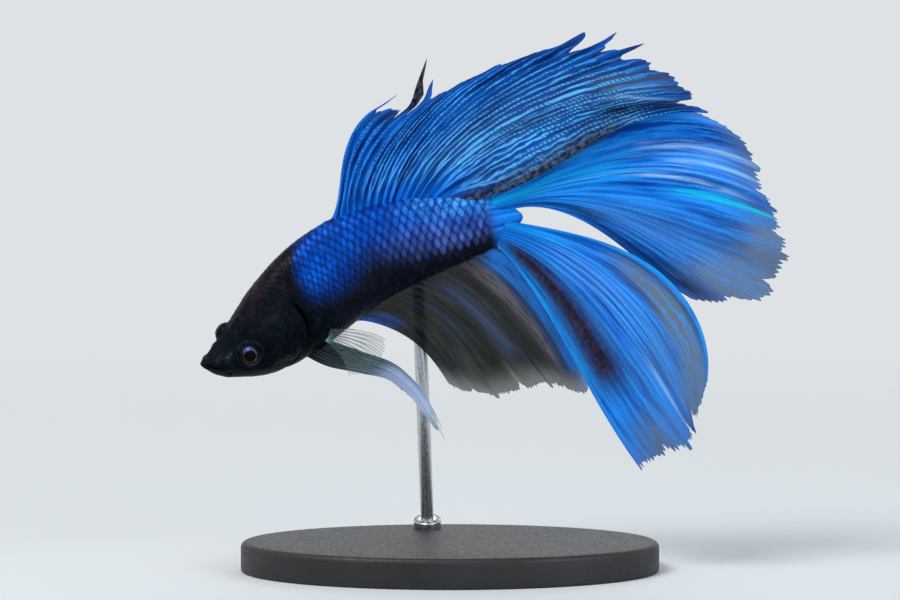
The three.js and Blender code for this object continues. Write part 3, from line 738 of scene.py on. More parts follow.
def build_scales():
    """Thin domed plates whose front edge is sunk and whose rear edge stands free, alike on both flanks."""
    random = np.random.default_rng(11)
    roots = lay_scales()
    s0, angle0, turn, along, around = roots.T[:, :, None]
    count = len(roots)
    jitter = random.normal(size=(5, count, 1))
    shade = random.uniform(size=(count, 1))
    radius, share = np.concatenate([[(0, 1)], np.repeat(SCALE_RINGS, SCALE_TURNS, axis=0)]).T
    turns = np.concatenate([[0], np.tile(round_angles(SCALE_TURNS), len(SCALE_RINGS))])
    fore, aside = radius * np.cos(turns), radius * np.sin(turns)  # fore is 1 at the free rear edge
    half_length = 0.78 * along * (1 + 0.05 * jitter[0])
    half_width = 0.6 * around * (1 + 0.05 * jitter[1]) * (1 - 0.22 * np.clip(fore, 0, 1) ** 2)
    s = s0 + fore * half_length + 0.05 * jitter[2]
    angle = angle0 + (aside * half_width + 0.06 * jitter[3] + 0.05 * jitter[4] * fore) * turn
    small = np.clip(along / 1.1, 0.45, 1)
    rise = COAT_DEPTH * small * lerp(-0.25, 1, (fore + 1) / 2)
    dome = 0.05 * small * (1 - aside**2) * (1 - fore**2)
    height = (rise + dome) * np.clip(share, 0, 1) + np.minimum(share, 0) * 0.1
    size = len(radius)
    first = np.arange(count)[:, None, None] * size
    ring = 1 + np.arange(SCALE_TURNS)
    bands = grid_faces(len(SCALE_RINGS), SCALE_TURNS, closed=True) + 1
    under = ring[::-1] + (len(SCALE_RINGS) - 1) * SCALE_TURNS
    faces = [(fan(0, ring) + first).reshape(-1, 3), (bands + first).reshape(-1, 4), under + first[:, 0]]
    values = markings(s0, angle0) | {"fore": fore, "aside": aside, "shade": shade}
    values = {key: np.broadcast_to(value, (count, size)) for key, value in values.items()}
    look = scale_material()
    for name, side in SIDES.items():
        grid = skin_point(s, angle * side)
        relief = skin_relief(s, angle * side, grid) + height
        points = grid + body_normal(np.maximum(s, 0), angle * side) * relief[..., None]
        u = 0.05 + 0.9 * s0 / 50 + fore * UV_PATCH
        v = 0.5 + side * (0.02 + 0.45 * angle0 / math.pi) + aside * UV_PATCH
        uv = np.stack([u, v], -1).reshape(-1, 2)
        turned = [part[:, ::-side] for part in faces]
        make_piece("scales_" + name, points.reshape(-1, 3), turned, look, (), values, uv)


def scale_material():
    look = Shader("scales", 0.38, 0.04, Coat_Weight=0.02, Coat_Roughness=0.15)
    dark, bright = flesh_colours(look)
    blue, shade, fore, aside = look.read("blue", "shade", "fore", "aside")
    ahead, across = (fore - 0.4) / 0.58, aside / 0.78
    away = (ahead * ahead + across * across).math("SQRT")
    patch = away.remap(0.22, 1.12, 1, 0) * look.noise(2400, 2).remap(0.36, 0.6, 0.7, 1.1)
    glow = patch * shade.remap(0, 1, 0.55, 1.05) * blue
    gap = look.mix("azure", (0, 42, 120), (8, 66, 160))
    look.paint(dark)
    look.paint(look.mix("lilac", gap, (26, 36, 78)), blue * 0.85)
    look.paint(bright, glow)
    look.paint((34, 46, 64), patch * shade.remap(0.35, 1, 0, 0.3) * (1 - blue))
    look.set("Metallic", glow * 0.25)
    look.bump((away * 9).math("SINE") * 0.12 + look.noise(4200, 2), 0.05, 0.5)
    return look


build_scales()


# ---- unpaired fins ----
ROOT_SUNK = 0.5  # the rays start this far inside the body
WEB_THICKNESS = 0.09
FRINGE_FROM = 0.9  # share of a ray's length where the uneven margin starts
FRINGE_ROWS = 18
DOT_PITCH = 0.62
# A fin's table: place along its base from 0 to 1, then a ray's heading above the horizontal at its root,
# middle and tip, its length, and how far its tip leans from its root in y.
HEADING, LENGTH, LEAN = 1, 4, 5
# folds: number, phase, depth
# streamers, bare ray ends: ray, length out of the web, heading, half width in rays
# notches, tears of the margin: ray, depth, half width in rays
# branches: share of the length where rays start to split and are fully split, half gap in rays, first ray
# strokes, colours along the rays, among them painted shadow and painted highlights: place along the base at
# start and end, share of the length at start and end, half width, strength
DORSAL_FIN = Record(
    name="dorsal_fin", rays=17, base=(24.3, 38.3), folds=(3.2, 0.1, 0.5), fringe=0.5, columns=18, rows=108,
    table=smooth_table(
        (0, 68, 79, 32, 16.2, -4), (0.17, 86, 66, 36, 15.6, -4.5), (0.3, 84, 57, 38, 17.6, -5),
        (0.46, 77, 46, 26, 24.2, -5.5), (0.57, 73, 36.5, 24, 31.2, -6), (0.68, 67, 32, 20, 34.2, -6),
        (0.79, 58, 26, 10, 36.2, -6), (0.88, 46, 20.5, -2, 36.4, -5.5), (1, -5, 29, -4, 34.8, -5),
    ),
    streamers=[
        (0, 3.6, 34, 0.2), (3, 7, 73, 0.42), (4, 3.4, 72, 0.3), (7, 1.2, 40, 0.3), (9, 2.6, 48, 0.35),
        (10, 3, 42, 0.16), (11, 3.2, 21, 0.16), (14, 0.8, 12, 0.4), (16, 1.8, -4, 0.5),
    ],
    notches=[
        (0.55, 1.2, 0.4), (2.5, 1.6, 0.3), (3.55, 2.2, 0.22), (5.5, 1, 0.3), (9.55, 2.6, 0.35),
        (10.5, 1.4, 0.2), (11.4, 1.8, 0.3), (12.5, 1.2, 0.4), (15.2, 2.4, 0.4),
    ],
    branches=[(0.02, 0.22, 0.25, 5), (0.06, 0.26, 0.125, 14)],
    strokes={
        "umber": [(1.01, 1.01, -0.1, 0.8, 0.05, 1), (0.19, 0.19, 0.98, 1.8, 0.045, 1)],
        "smoke": [(0.76, 0.86, 0.12, 0.9, 0.2, 0.5), (0.8, 0.84, 0.78, 1.1, 0.06, 1)],
        # the second "dark" stroke is painted shadow under the fin's folded rear corner
        "dark": [(0.11, 0.14, 0.86, 1.1, 0.05, 0.7), (0.91, 0.985, 0.66, 1.02, 0.03, 1)],
        # a painted highlight along the edge of that fold
        "pale": [(0.86, 0.93, 0.79, 0.95, 0.011, 1)],
        "cyan": [(0.955, 0.96, 0.97, 1.2, 0.025, 0.8)],
    },
)
CAUDAL_UPPER = Record(
    name="caudal_fin_upper", rays=15, base=(3.45, 1.1), folds=(4, 0.3, 0.7), fringe=0.7, columns=16, rows=112,
    table=smooth_table(
        (0, 84, 17, 2, 31.2, 1), (0.14, 27, 21, -22, 35.3, -0.5), (0.29, 20, 10, -30, 36.2, -1.5),
        (0.4, 18, 3, -30, 37, -1.5), (0.53, 18, -8, -25, 38, -1.5), (0.67, 19, -17, -21, 39, -1),
        (0.81, 21, -24, -26, 38.2, -1), (0.9, 22, -27, -34, 34, -0.5), (1, 29, -36, -30, 30.2, 0),
    ),
    streamers=[(3, 1.2, -30, 0.25), (6, 1.2, -30, 0.25), (9, 1, -24, 0.25)],
    notches=[(4.6, 1.5, 0.25), (7.5, 1.1, 0.3), (10.5, 1.4, 0.25), (12.4, 1.2, 0.3)],
    branches=[(0.26, 0.6, 0.25, 0), (0.6, 0.9, 0.125, 0)],
    strokes={
        "azure": [(0.22, 0.34, -0.1, 0.5, 0.15, 1), (0.34, 0.37, 0.2, 0.6, 0.03, 0.8)],
        "cyan": [
            (0.3, 0.38, -0.1, 0.2, 0.09, 0.8), (0.49, 0.475, 0.62, 1.06, 0.012, 1),
            (0.47, 0.455, 0.64, 0.9, 0.006, 0.7),
        ],
        "pale": [
            (0.38, 0.37, 0.26, 0.55, 0.01, 0.4), (0.385, 0.435, 0.5, 0.92, 0.015, 1),
            (0.35, 0.37, 0.6, 1, 0.006, 0.6), (0.17, 0.18, 0.5, 0.95, 0.006, 0.4),
            (0.2, 0.21, 0.6, 1.05, 0.012, 0.9), (0.24, 0.24, 0.5, 0.95, 0.006, 0.5),
            (0.28, 0.27, 0.66, 1.05, 0.012, 0.9), (0.32, 0.31, 0.55, 1, 0.006, 0.5),
        ],
        # the first two "dark" strokes, along the top edge, are painted shadow of the dorsal fin
        "dark": [
            (0.075, 0.04, 0.12, 0.9, 0.06, 0.75), (0, 0, 0.7, 1.1, 0.03, 0.7),
            (0.72, 0.94, -0.05, 0.5, 0.08, 0.85), (0.97, 0.95, 0.45, 1.02, 0.045, 0.85),
            (0.55, 0.57, 0.6, 0.95, 0.012, 0.5), (0.7, 0.7, 0.7, 0.98, 0.012, 0.4),
        ],
        "umber": [(0.1, 0.09, 0.02, 0.42, 0.045, 0.7)],
        "smoke": [
            (0.82, 0.78, 0.76, 1.2, 0.11, 0.8), (0.6, 0.64, 0.9, 1.2, 0.1, 0.7),
            (0.2, 0.22, 0.93, 1.2, 0.12, 0.6), (0.6, 0.6, 0.84, 1.3, 0.45, 0.4),
            (0.78, 0.74, 0.3, 1.2, 0.17, 0.42),
        ],
    },
)
CAUDAL_LOWER = Record(
    name="caudal_fin_lower", rays=13, base=(0.6, -3), folds=(3, 0.6, 0.6), fringe=0.7, columns=16, rows=112,
    table=smooth_table(
        (0, -9, -28, -90, 38, -3), (0.15, -14, -37, -81, 38.3, -3.5), (0.35, -12, -44, -72, 37.8, -4),
        (0.67, -22, -55, -54, 36.6, -3.5), (1, -48, -60.5, -54, 33.9, -2.5),
    ),
    streamers=[(4, 1, -72, 0.25), (8, 1.2, -58, 0.25), (12, 1, -54, 0.2)],
    notches=[(2.5, 1.2, 0.3), (6.5, 1.4, 0.3), (9.5, 1.2, 0.3)],
    branches=[(0.26, 0.6, 0.25, 0), (0.6, 0.9, 0.125, 0)],
    strokes={
        "umber": [(0.78, 0.82, 0.02, 0.74, 0.15, 1)],
        "azure": [
            (0.99, 0.96, 0, 0.7, 0.08, 0.8), (0, 0, 0.25, 1, 0.018, 0.8), (0.1, 0.12, -0.1, 0.3, 0.12, 0.7),
        ],
        "pale": [(0.4, 0.35, 0.2, 0.7, 0.24, 0.14), (0.53, 0.56, 0.72, 1.1, 0.02, 0.7)],
        "smoke": [
            (0.07, 0.11, 0.42, 1.2, 0.055, 0.95), (0.25, 0.3, 0.86, 1.2, 0.12, 0.8),
            (0.8, 0.86, 0.84, 1.2, 0.14, 0.7), (0.3, 0.45, 0.64, 1.3, 0.4, 0.6),
        ],
        "dark": [
            (0.35, 0.4, -0.1, 0.2, 0.5, 0.24), (0.025, 0.03, 0.25, 0.93, 0.01, 0.7),
            (0.6, 0.7, 0.1, 0.8, 0.015, 0.3),
        ],
    },
)
ANAL_FIN = Record(
    name="anal_fin", rays=17, base=(20.5, 43.3), folds=(4, 0, 0.6), fringe=0.6, columns=14, rows=84,
    table=smooth_table(
        (0, -2, -36, -57, 16.1, 4), (0.16, 2, -46, -46, 19, 4.5), (0.34, -10, -46, -56, 20.9, 4.5),
        (0.66, -26, -47, -54, 22.3, 4), (0.84, -30, -54, -65, 23.2, 3.5), (1, -23, -60, -62, 24.2, 3.1),
    ),
    streamers=[(4, 1, -50, 0.25), (9, 1.2, -55, 0.25), (16, 0.8, -63, 0.2)],
    notches=[(2.4, 0.8, 0.3), (6.5, 1.2, 0.3), (11.5, 1, 0.3), (14.5, 0.9, 0.3)],
    branches=[(0.3, 0.6, 0.25, 0), (0.65, 0.95, 0.125, 0)],
    strokes={
        "cyan": [(0.945, 0.9, 0.03, 1.05, 0.085, 0.5), (0, 0.03, 0.03, 0.36, 0.06, 0.8)],
        "azure": [(0.98, 0.95, 0, 1.05, 0.075, 1), (0.92, 0.87, 0.08, 0.9, 0.05, 1)],
        "pale": [(0.79, 0.8, 0.06, 0.88, 0.045, 0.85)],
        "smoke": [(0.55, 0.49, 0.1, 0.8, 0.045, 0.85), (0.3, 0.32, 0.2, 0.6, 0.03, 0.45)],
        "dark": [
            (0.86, 0.84, 0.2, 1, 0.018, 0.8), (0.68, 0.66, 0.1, 0.9, 0.03, 0.6),
            (0, 0.02, 0.4, 1.1, 0.035, 0.6),
        ],
    },
)
STROKE_KINDS = ("azure", "cyan", "pale", "dark", "smoke", "umber")


def margin_reach(fin, ray, random):
    """How far each column passes the web's margin, in mm, and the streamers' share and heading there."""
    tips = 2 ** len(fin.branches)
    number = np.floor(ray * tips).astype(int)
    peaks = random.uniform(0.25, 1.2, number.max() + 1)[number]
    reach = fin.fringe * peaks * (1 - np.abs(2 * (ray * tips - number) - 1)) ** 0.8
    lobes = random.uniform(-0.5, 0.7, fin.rays)
    reach += np.interp(ray, np.arange(fin.rays), lobes) * fin.fringe
    for at, depth, width in fin.notches:
        reach -= depth * np.clip(1 - np.abs(ray - at) / width, 0, 1) ** 0.7
    freed, heading = np.zeros((2, len(ray)))
    for at, extra, turned, width in fin.streamers:
        near = np.clip(1 - np.abs(ray - at) / width, 0, 1)
        reach += extra * near**0.8
        freed = np.where(near > 0, np.minimum(near * 2.5, 1), freed)
        heading = np.where(near > 0, turned, heading)
    return reach, freed, heading


def to_branch(fin, away, ray, share):
    """The distance to the nearest branch, in rays, from that to the nearest ray; also for shader values."""
    for start, stop, offset, first in fin.branches:
        away = abs(away - step(start, stop, share) * offset * step(first - 2, first, ray))
    return away


def fin_surface(fin, root_at):
    """A fin's middle surface, columns along its base and rows from root to margin, and its points' values."""
    random = np.random.default_rng(len(fin.name))
    last = fin.rays - 1
    ray = np.linspace(0, last, last * fin.columns + 1)
    reach, freed, loose_heading = (x[:, None] for x in margin_reach(fin, ray, random))
    ray = ray[:, None]
    u = ray / last
    length = fin.table(u, LENGTH) + ROOT_SUNK
    end = 1 + reach / length
    inner = np.linspace(0, FRINGE_FROM, fin.rows - FRINGE_ROWS)
    outer = np.linspace(0, 1, FRINGE_ROWS + 1)[1:]
    share = np.hstack([np.tile(inner, (len(ray), 1)), FRINGE_FROM + (end - FRINGE_FROM) * outer])
    middle = (share[:, 1:] + share[:, :-1]) / 2
    heading = bend(*(fin.table(u, HEADING + k) for k in range(3)), np.minimum(middle, 1))
    heading = heading + 2.4 * ripple(2.4, 5, ray * 0.9, middle * 3.2, 7) * step(0.1, 0.5, middle)
    heading = np.radians(lerp(heading, loose_heading, freed * step(0.97, 1.1, middle)))
    way = np.stack([np.cos(heading), 0 * heading, np.sin(heading)], -1)
    way = np.cumsum(way * (np.diff(share, axis=1) * length)[..., None], 1)
    grid = root_at(u) + np.concatenate([np.zeros((len(ray), 1, 3)), way], 1)
    count, phase, depth = fin.folds
    flat = np.minimum(share, 1.15)
    folds = depth * np.sin(2 * math.pi * (count * u + phase)) * flat**2
    flutter, crimp = ripple(2.6, 8, ray, share * 2.2, 3), ripple(0.9, 9, ray, share * 4.4, 3)
    flutter = (0.55 * flutter + 0.2 * crimp * flat) * flat**1.6
    grid[..., 1] += fin.table(u, LEAN) * share + folds + flutter
    uneven = random.uniform(-0.09, 0.09, fin.rays)[np.round(ray).astype(int)]
    return grid, {
        "ray": ray,
        "share": share,
        "split": share + uneven,
        "from_root": share * length - ROOT_SUNK,
        "to_margin": (end - share) * length,
    }


def stroke_shares(fin, u, share):
    """The strokes' strength at each point, one value for each kind of colour."""
    shares = {kind: np.zeros(share.shape) for kind in STROKE_KINDS}
    for kind, rows in fin.strokes.items():
        for first_u, last_u, start, stop, width, strength in rows:
            middle = lerp(first_u, last_u, np.clip((share - start) / (stop - start), 0, 1))
            ends = plateau(share, start - 0.08, start + 0.1, stop - 0.14, stop + 0.06)
            shares[kind] += strength * hump(u - middle, width) * ends
    return {kind: np.clip(value, 0, 1) for kind, value in shares.items()}


def add_rays(fin, middle, values, rise, half_width):
    """Thickness of a fin: a thin web and round ridges; rise and half width are theirs at root and tip."""
    ray, share, split = values["ray"], values["share"], values["split"]
    values["spacing"] = np.linalg.norm(np.gradient(middle, axis=0), axis=-1) * fin.columns
    values["gap"] = values["spacing"].copy()
    for start, stop, _, first in fin.branches:
        values["gap"] *= 1 - 0.5 * step(start, stop, split) * step(first - 2, first, ray)
    away = to_branch(fin, np.abs(ray - np.round(ray)), ray, split) * values["spacing"]
    along = np.clip(share, 0, 1)
    ridge = lerp(*rise, along) * hump(away, lerp(*half_width, along))
    sheath = 2 * rise[0] * hump(along, 0.06)
    return (WEB_THICKNESS + ridge + sheath) * lerp(1, 0.35, step(0.95, 1.2, share))


def build_fin(fin, root_at, look):
    middle, values = fin_surface(fin, root_at)
    thickness = add_rays(fin, middle, values, (0.34, 0.09), (0.3, 0.16))
    values |= stroke_shares(fin, values["ray"] / (fin.rays - 1), values["share"])
    name = "fin_" + fin.name.replace("_fin", "")
    make_plate(name, middle, thickness, look, fin.name, values)


def root_on_body(fin, angle):
    return lambda u: body_point(lerp(*fin.base, u), angle, -ROOT_SUNK)


def root_on_stalk(fin):
    origin, tail, back, _ = frame_at(STANDARD_LENGTH)
    return lambda u: origin - tail * ROOT_SUNK + lerp(*fin.base, u)[..., None] * back


def from_ray(fin, ray, share):
    """Distance, in rays, to the nearest ray or branch, in a shader."""
    return to_branch(fin, abs((ray + 0.5).math("FRACT") - 0.5), ray, share)


def fin_material(name, tones, fin, band, dots, clear):
    """Light lines along the rays over a darker web. band: the lines' half width at root and margin, strength,
    and largest share of the gap between them. dots: strength of the dark dots in them. clear: the web's
    clearness inside, at the margin and in smoky strokes."""
    look = Shader(name, 0.5, 0.03)
    ray, share, to_margin, smoke = look.read("ray", "share", "to_margin", "smoke")

    def streaks(per_ray, per_length, detail, seed):
        return look.noise(1, detail, at=look.point(ray * per_ray, share * per_length, seed))

    streak, fine = streaks(2.3, 3, 3, 9), streaks(9, 7, 3, 2)
    wavy = streaks(2.5, 14, 2, 6) - 0.5
    away = from_ray(fin, ray + wavy * 0.45, look.read("split")) * look.read("spacing")
    mixed = streaks(0.9, 1.5, 2, 4) * 0.4 + streak * 0.4 + fine * 0.2
    web = zip((0.4, 0.47, 0.53, 0.61), (tones[key] for key in ("deep", "middle", "bright", "light")))
    look.paint(mixed.ramp(*web))
    look.paint(tones["smoke"], smoke)
    half_width = share.remap(0, 1, band[0], band[1]).math("MINIMUM", look.read("gap") * band[3])
    edge = away / half_width
    uneven = streak.remap(0.36, 0.56, 0.3, 1)
    look.paint(tones["light"], edge.remap(0.6, 1.7, 1, 0) * (band[2] * 0.5) * uneven)
    line = edge.remap(0.3, 1, 1, 0) * band[2] * uneven * to_margin.remap(0, 3.5, 0.45, 1)
    tint = share.ramp((0.05, tones["root"]), (0.18, tones["ray"]), (0.78, tones["ray"]), (1, tones["tip"]))
    single = fin.branches[0][3]  # the rays before this one don't branch, and keep their root's tone
    if single:
        tint = look.mix(ray.remap(single - 2, single + 3, 0.75, 0), tint, tones["root"])
    look.paint(tint, line)
    if dots:
        along = look.read("from_root") + (wavy + streak) * 0.9
        beads = (along * (1 / DOT_PITCH)).math("FRACT").band(0.5, 0.36) * away.remap(0.07, 0.2, 1, 0)
        inside = share.remap(0.22, 0.45) * share.remap(0.84, 1, 1, 0)
        look.paint(tones["dot"], beads * (inside * streaks(1.7, 5, 1, 12).remap(0.42, 0.5)) * dots)
    broken = (fine * 0.6 + streak * 0.4).remap(0.4, 0.54, 0.2, 1)
    # colour strokes; some "dark" ones are painted shadow and a "pale" one a painted highlight
    for kind in ("azure", "cyan", "pale", "dark"):
        look.paint(tones[kind], look.read(kind) * broken)
    look.paint(look.noise(1700).ramp((0.42, tones["umber"]), (0.62, tones["mauve"])), "umber")
    thin = to_margin.remap(0, 5, clear[1], clear[0]).math("MAXIMUM", smoke * clear[2])
    look.set("Alpha", 1 - thin * (1 - line * 0.6))
    look.bump(streak + fine * 0.5, 0.08, 0.5)
    return look


BLUE = dict(
    deep=(0, 58, 150), middle=(2, 92, 200), bright=(12, 120, 230), light=(40, 150, 252), root=(12, 140, 248),
    ray=(52, 160, 255), tip=(52, 132, 228), umber=(32, 28, 44), mauve=(54, 44, 66), smoke=(74, 104, 136),
    dot=(6, 34, 92), azure=(22, 164, 255), cyan=(18, 204, 238), pale=(156, 204, 255), dark=(4, 24, 62),
)
CROWN = dict(
    BLUE, deep=(0, 30, 88), middle=(0, 58, 138), bright=(4, 88, 186), light=(16, 110, 222),
    root=(14, 118, 238), ray=(96, 192, 255), tip=(36, 128, 230), umber=(22, 22, 30), mauve=(84, 84, 92),
    smoke=(38, 66, 110), cyan=(36, 146, 246), dark=(2, 12, 40),
)
SMOKY = dict(
    BLUE, deep=(18, 20, 23), middle=(30, 33, 34), bright=(43, 46, 43), light=(60, 67, 65), root=(30, 34, 46),
    ray=(66, 76, 84), tip=(74, 84, 84), smoke=(54, 76, 118), azure=(22, 148, 250), cyan=(6, 100, 208),
    pale=(118, 112, 120), dark=(10, 14, 22),
)

crown_look = fin_material("dorsal fin", CROWN, DORSAL_FIN, (0.2, 0.32, 1, 0.31), 0.95, (0.02, 0.14, 0.22))
blue_look = fin_material("blue fin", BLUE, CAUDAL_UPPER, (0.3, 0.22, 0.5, 0.6), 0.2, (0.03, 0.26, 0.32))
smoky_look = fin_material("smoky fin", SMOKY, ANAL_FIN, (0.3, 0.24, 0.25, 0.6), 0, (0.14, 0.5, 0.2))
build_fin(DORSAL_FIN, root_on_body(DORSAL_FIN, 0), crown_look)
build_fin(CAUDAL_UPPER, root_on_stalk(CAUDAL_UPPER), blue_look)
build_fin(CAUDAL_LOWER, root_on_stalk(CAUDAL_LOWER), blue_look)
build_fin(ANAL_FIN, root_on_body(ANAL_FIN, math.pi), smoky_look)


# ---- paired fins ----
# The pectoral fans run from the top ray to the lowest one, in the body's own axes at the root.
PECTORAL = Record(
    s=15.3, degrees=123, root_width=1.8, rays=11, columns=14, rows=60, branches=[(0.45, 0.85, 0.22, 0)],
    sweep=(-20, -80),  # degrees above the body's axis, top and lowest ray
    length=(8.2, 8, 5.2),  # top, middle and lowest ray
    outward=34,  # degrees away from the flank
    cup=0.5,  # bend of the fan's middle towards the body
)
# The pelvic fins are long feelers: a line of points each, and the width at even steps along it.
PELVICS = {
    "left": [
        (-18.8, 2.2, 30.2), (-16, 1.2, 28.9), (-12, 0.4, 27.9), (-7.9, -0.4, 26.7), (-4.8, -1, 24.2),
        (-2.6, -1.4, 21), (-0.5, -1.6, 17.5),
    ],
    "right": [
        (-19.8, 3.6, 30.9), (-16.8, 3.6, 29.2), (-13, 3.8, 28.1), (-9.4, 3.9, 27), (-6.4, 4, 24.8),
        (-4.4, 4, 22.2),
    ],
}
PELVIC_WIDTH = [3.3, 3.2, 2.6, 1.8, 1.4, 0.9]
PELVIC_RAYS, PELVIC_COLUMNS, PELVIC_ROWS = 9, 73, 150


def build_pectoral(name, side, look):
    fin = PECTORAL
    random = np.random.default_rng(31)
    _, tail, back, left = frame_at(fin.s)
    last = fin.rays - 1
    ray = np.linspace(0, last, last * fin.columns + 1)[:, None]
    u = ray / last
    length = bend(*fin.length, u) + ROOT_SUNK
    tip = np.floor(2 * ray).astype(int)
    peak = 1 - np.abs(2 * (2 * ray - tip) - 1)
    end = 1 + (0.45 * peak * random.uniform(0.4, 1.2, 2 * last + 1)[tip] - 0.2) / length
    share = np.linspace(0, 1, fin.rows) * end
    sweep = np.radians(lerp(*fin.sweep, u) - 14 * share**2)[..., None]
    outward = math.radians(fin.outward)
    way = (tail * np.cos(sweep) + back * np.sin(sweep)) * math.cos(outward) + left * side * math.sin(outward)
    root = body_point(fin.s, math.radians(fin.degrees) * side, -ROOT_SUNK)
    root = root + back * (fin.root_width * (0.5 - u))[..., None]
    cup = -side * fin.cup * np.sin(math.pi * u) * share**2
    wave = 0.12 * ripple(2, 33, ray, share * 2, 1) * share
    middle = root + way * (length * share)[..., None] + left * (cup + wave)[..., None]
    cyan = hump(share - 0.06, 0.1) * hump(u - 0.75, 0.42)
    values = {"ray": ray, "share": share, "split": share, "cyan": cyan}
    thickness = add_rays(fin, middle, values, (0.16, 0.04), (0.14, 0.07))
    make_plate("pectoral_" + name, middle, thickness, look, "pectoral_fin_" + name, values)


def clear_material():
    """The pectoral fins: a nearly clear web with fine pale rays and a light blue root."""
    look = Shader("clear fin", 0.3, 0.3)
    ray, share, spacing, cyan = look.read("ray", "share", "spacing", "cyan")
    line = (from_ray(PECTORAL, ray, share) * spacing).remap(0.03, 0.12, 1, 0)
    look.paint((120, 140, 146))
    look.paint(share.ramp((0, (36, 64, 78)), (0.3, (46, 68, 74)), (1, (112, 130, 128))), line)
    look.paint((150, 205, 225), cyan)
    solid = (line * share.remap(0.2, 1, 0.75, 0.4)).math("MAXIMUM", cyan)
    look.set("Alpha", solid.math("MAXIMUM", share.remap(0.1, 0.5, 0.32, 0.1)))
    return look


def along_line(points, t):
    """A smooth line through points at t from 0 to 1: Catmull-Rom spans with tension 0.5."""
    points = np.array(points)
    points = np.concatenate([[2 * points[0] - points[1]], points, [2 * points[-1] - points[-2]]])
    x = t * (len(points) - 3)
    i = np.minimum(x.astype(int), len(points) - 4)
    f = (x - i)[:, None]
    a, b, c, d = points[i], points[i + 1], points[i + 2], points[i + 3]
    return 0.5 * (2 * b + (c - a) * f + (2 * a - 5 * b + 4 * c - d) * f**2 + (3 * b - a - 3 * c + d) * f**3)


def build_pelvic(name, look):
    """A feeler: a ribbon of bundled rays, folded a little along its middle, with a few loose ray tips."""
    random = np.random.default_rng(41)
    across = np.linspace(-1, 1, PELVIC_COLUMNS)[:, None]
    ray = (across + 1) / 2 * (PELVIC_RAYS - 1)
    number = np.round(ray).astype(int)
    away = np.abs(ray - number)
    end = 1 + random.uniform(-0.11, 0.0, PELVIC_RAYS)[number] - 0.22 * away - 0.08 * across**2
    share = np.linspace(0, 1, PELVIC_ROWS) * end
    t = np.linspace(0, 1, 400)
    line = along_line(PELVICS[name], t)
    sideways = unit(np.cross(unit(np.gradient(line, axis=0)), (0, -1, 0)))
    width = np.interp(t, np.linspace(0, 1, len(PELVIC_WIDTH)), PELVIC_WIDTH) / 2

    def at(values):
        return np.stack([np.interp(share, t, column) for column in values.T], -1)

    middle = at(line) + at(sideways) * (np.interp(share, t, width) * across)[..., None]
    wave = 0.2 * ripple(1.6, 42, across * 1.2, share * 6, 2) * share
    middle[..., 1] += 0.5 * np.abs(across) * np.sin(math.pi * np.minimum(share, 1)) + wave
    thickness = 0.12 + 0.22 * hump(away, 0.3) * (1 - 0.6 * share)
    values = {"ray": ray, "share": share, "across": across}
    make_plate("pelvic_" + name, middle, thickness, look, "pelvic_fin_" + name, values)


def feeler_material():
    """The pelvic fins: dark at the root, then grey-teal with pale rays, and pale lavender blue to the tip."""
    look = Shader("feeler", 0.42, 0.25)
    ray, share, across = look.read("ray", "share", "across")
    streak = look.noise(1, at=look.point(ray * 1.6, share * 5, 3))
    look.paint((share + (across * 0.05 + streak * 0.16)).ramp(
        (0.12, (6, 12, 20)), (0.26, (20, 38, 44)), (0.48, (52, 80, 88)), (0.6, (150, 166, 204)),
        (0.8, (168, 188, 224)), (1, (186, 206, 220)),
    ))
    line = (ray * 1.5).math("FRACT").band(0.5, 0.3) * streak.remap(0.4, 0.6, 0.1, 0.7)
    look.paint((150, 174, 190), line * share.remap(0.1, 0.6, 0.35, 1))
    look.paint((40, 66, 88), across.remap(-1, -0.35, 1, 0) * share.remap(0.9, 0.6) * 0.6)
    look.set("Alpha", share.remap(0.75, 1, 0.96, 0.62))
    look.bump(streak, 0.08, 0.5)
    return look


clear_look = clear_material()
feeler_look = feeler_material()
for fin_side in SIDES:
    build_pectoral(fin_side, SIDES[fin_side], clear_look)
    build_pelvic(fin_side, feeler_look)


# ---- stand ----
ROD_RADIUS = 0.9
ROD_FOOT = np.array([-3, 13.5, 1.2])
ROD_TOP = Record(s=33, degrees=-118, set_in=1.6)
COLLAR = Record(radius=1.9, height=1.5, bevel=0.3)
BASE_BEVEL = 0.8


def build_turned(name, profile, foot, axis, turns, look, nodes, stretch=1.0):
    """A solid turned about an axis: profile is (radius, height) pairs."""
    side = unit(np.cross(axis, (0, 1, 0)))
    turn = round_angles(turns)[:, None]
    circle = np.cos(turn) * side + np.sin(turn) * np.cross(axis, side) * stretch
    radius, height = np.array(profile, float).T[..., None, None]
    make_rings(name, foot + radius * circle + height * axis, -1, look, nodes, {})


def rounded(radius, bottom, top, bevel):
    """A profile whose upper edge is rounded by bevel and whose lower edge by half of it."""
    turn = np.linspace(0, math.pi / 2, 7)
    low = [(radius - bevel / 2 * (1 - math.sin(a)), bottom + bevel / 2 * (1 - math.cos(a))) for a in turn]
    high = [(radius - bevel * (1 - math.cos(a)), top - bevel * (1 - math.sin(a))) for a in turn]
    return [(radius * 0.5, bottom), *low, *high, *[(radius * k, top) for k in (0.9, 0.6, 0.3)]]


def base_material():
    look = Shader("stand base", 0.5, 0.4)
    grain = look.noise(2600, 2)
    look.paint(look.noise(90, 4).ramp((0.35, (26, 27, 29)), (0.65, (38, 39, 42))))
    look.set("Roughness", grain.remap(0.35, 0.65, 0.42, 0.6))
    look.bump(grain, 0.03, 0.5)
    return look


def rod_material():
    look = Shader("stand rod", 0.28, 0.5, Metallic=1)
    place = look.node("Mapping", {"Vector": look.place(), "Scale": (9000, 9000, 500)})
    brushed = look.noise(1, 2, at=place)
    look.paint(brushed.ramp((0.3, (176, 179, 184)), (0.7, (214, 216, 220))))
    look.set("Roughness", brushed.remap(0.3, 0.7, 0.22, 0.36))
    look.bump(brushed, 0.01, 0.4)
    return look


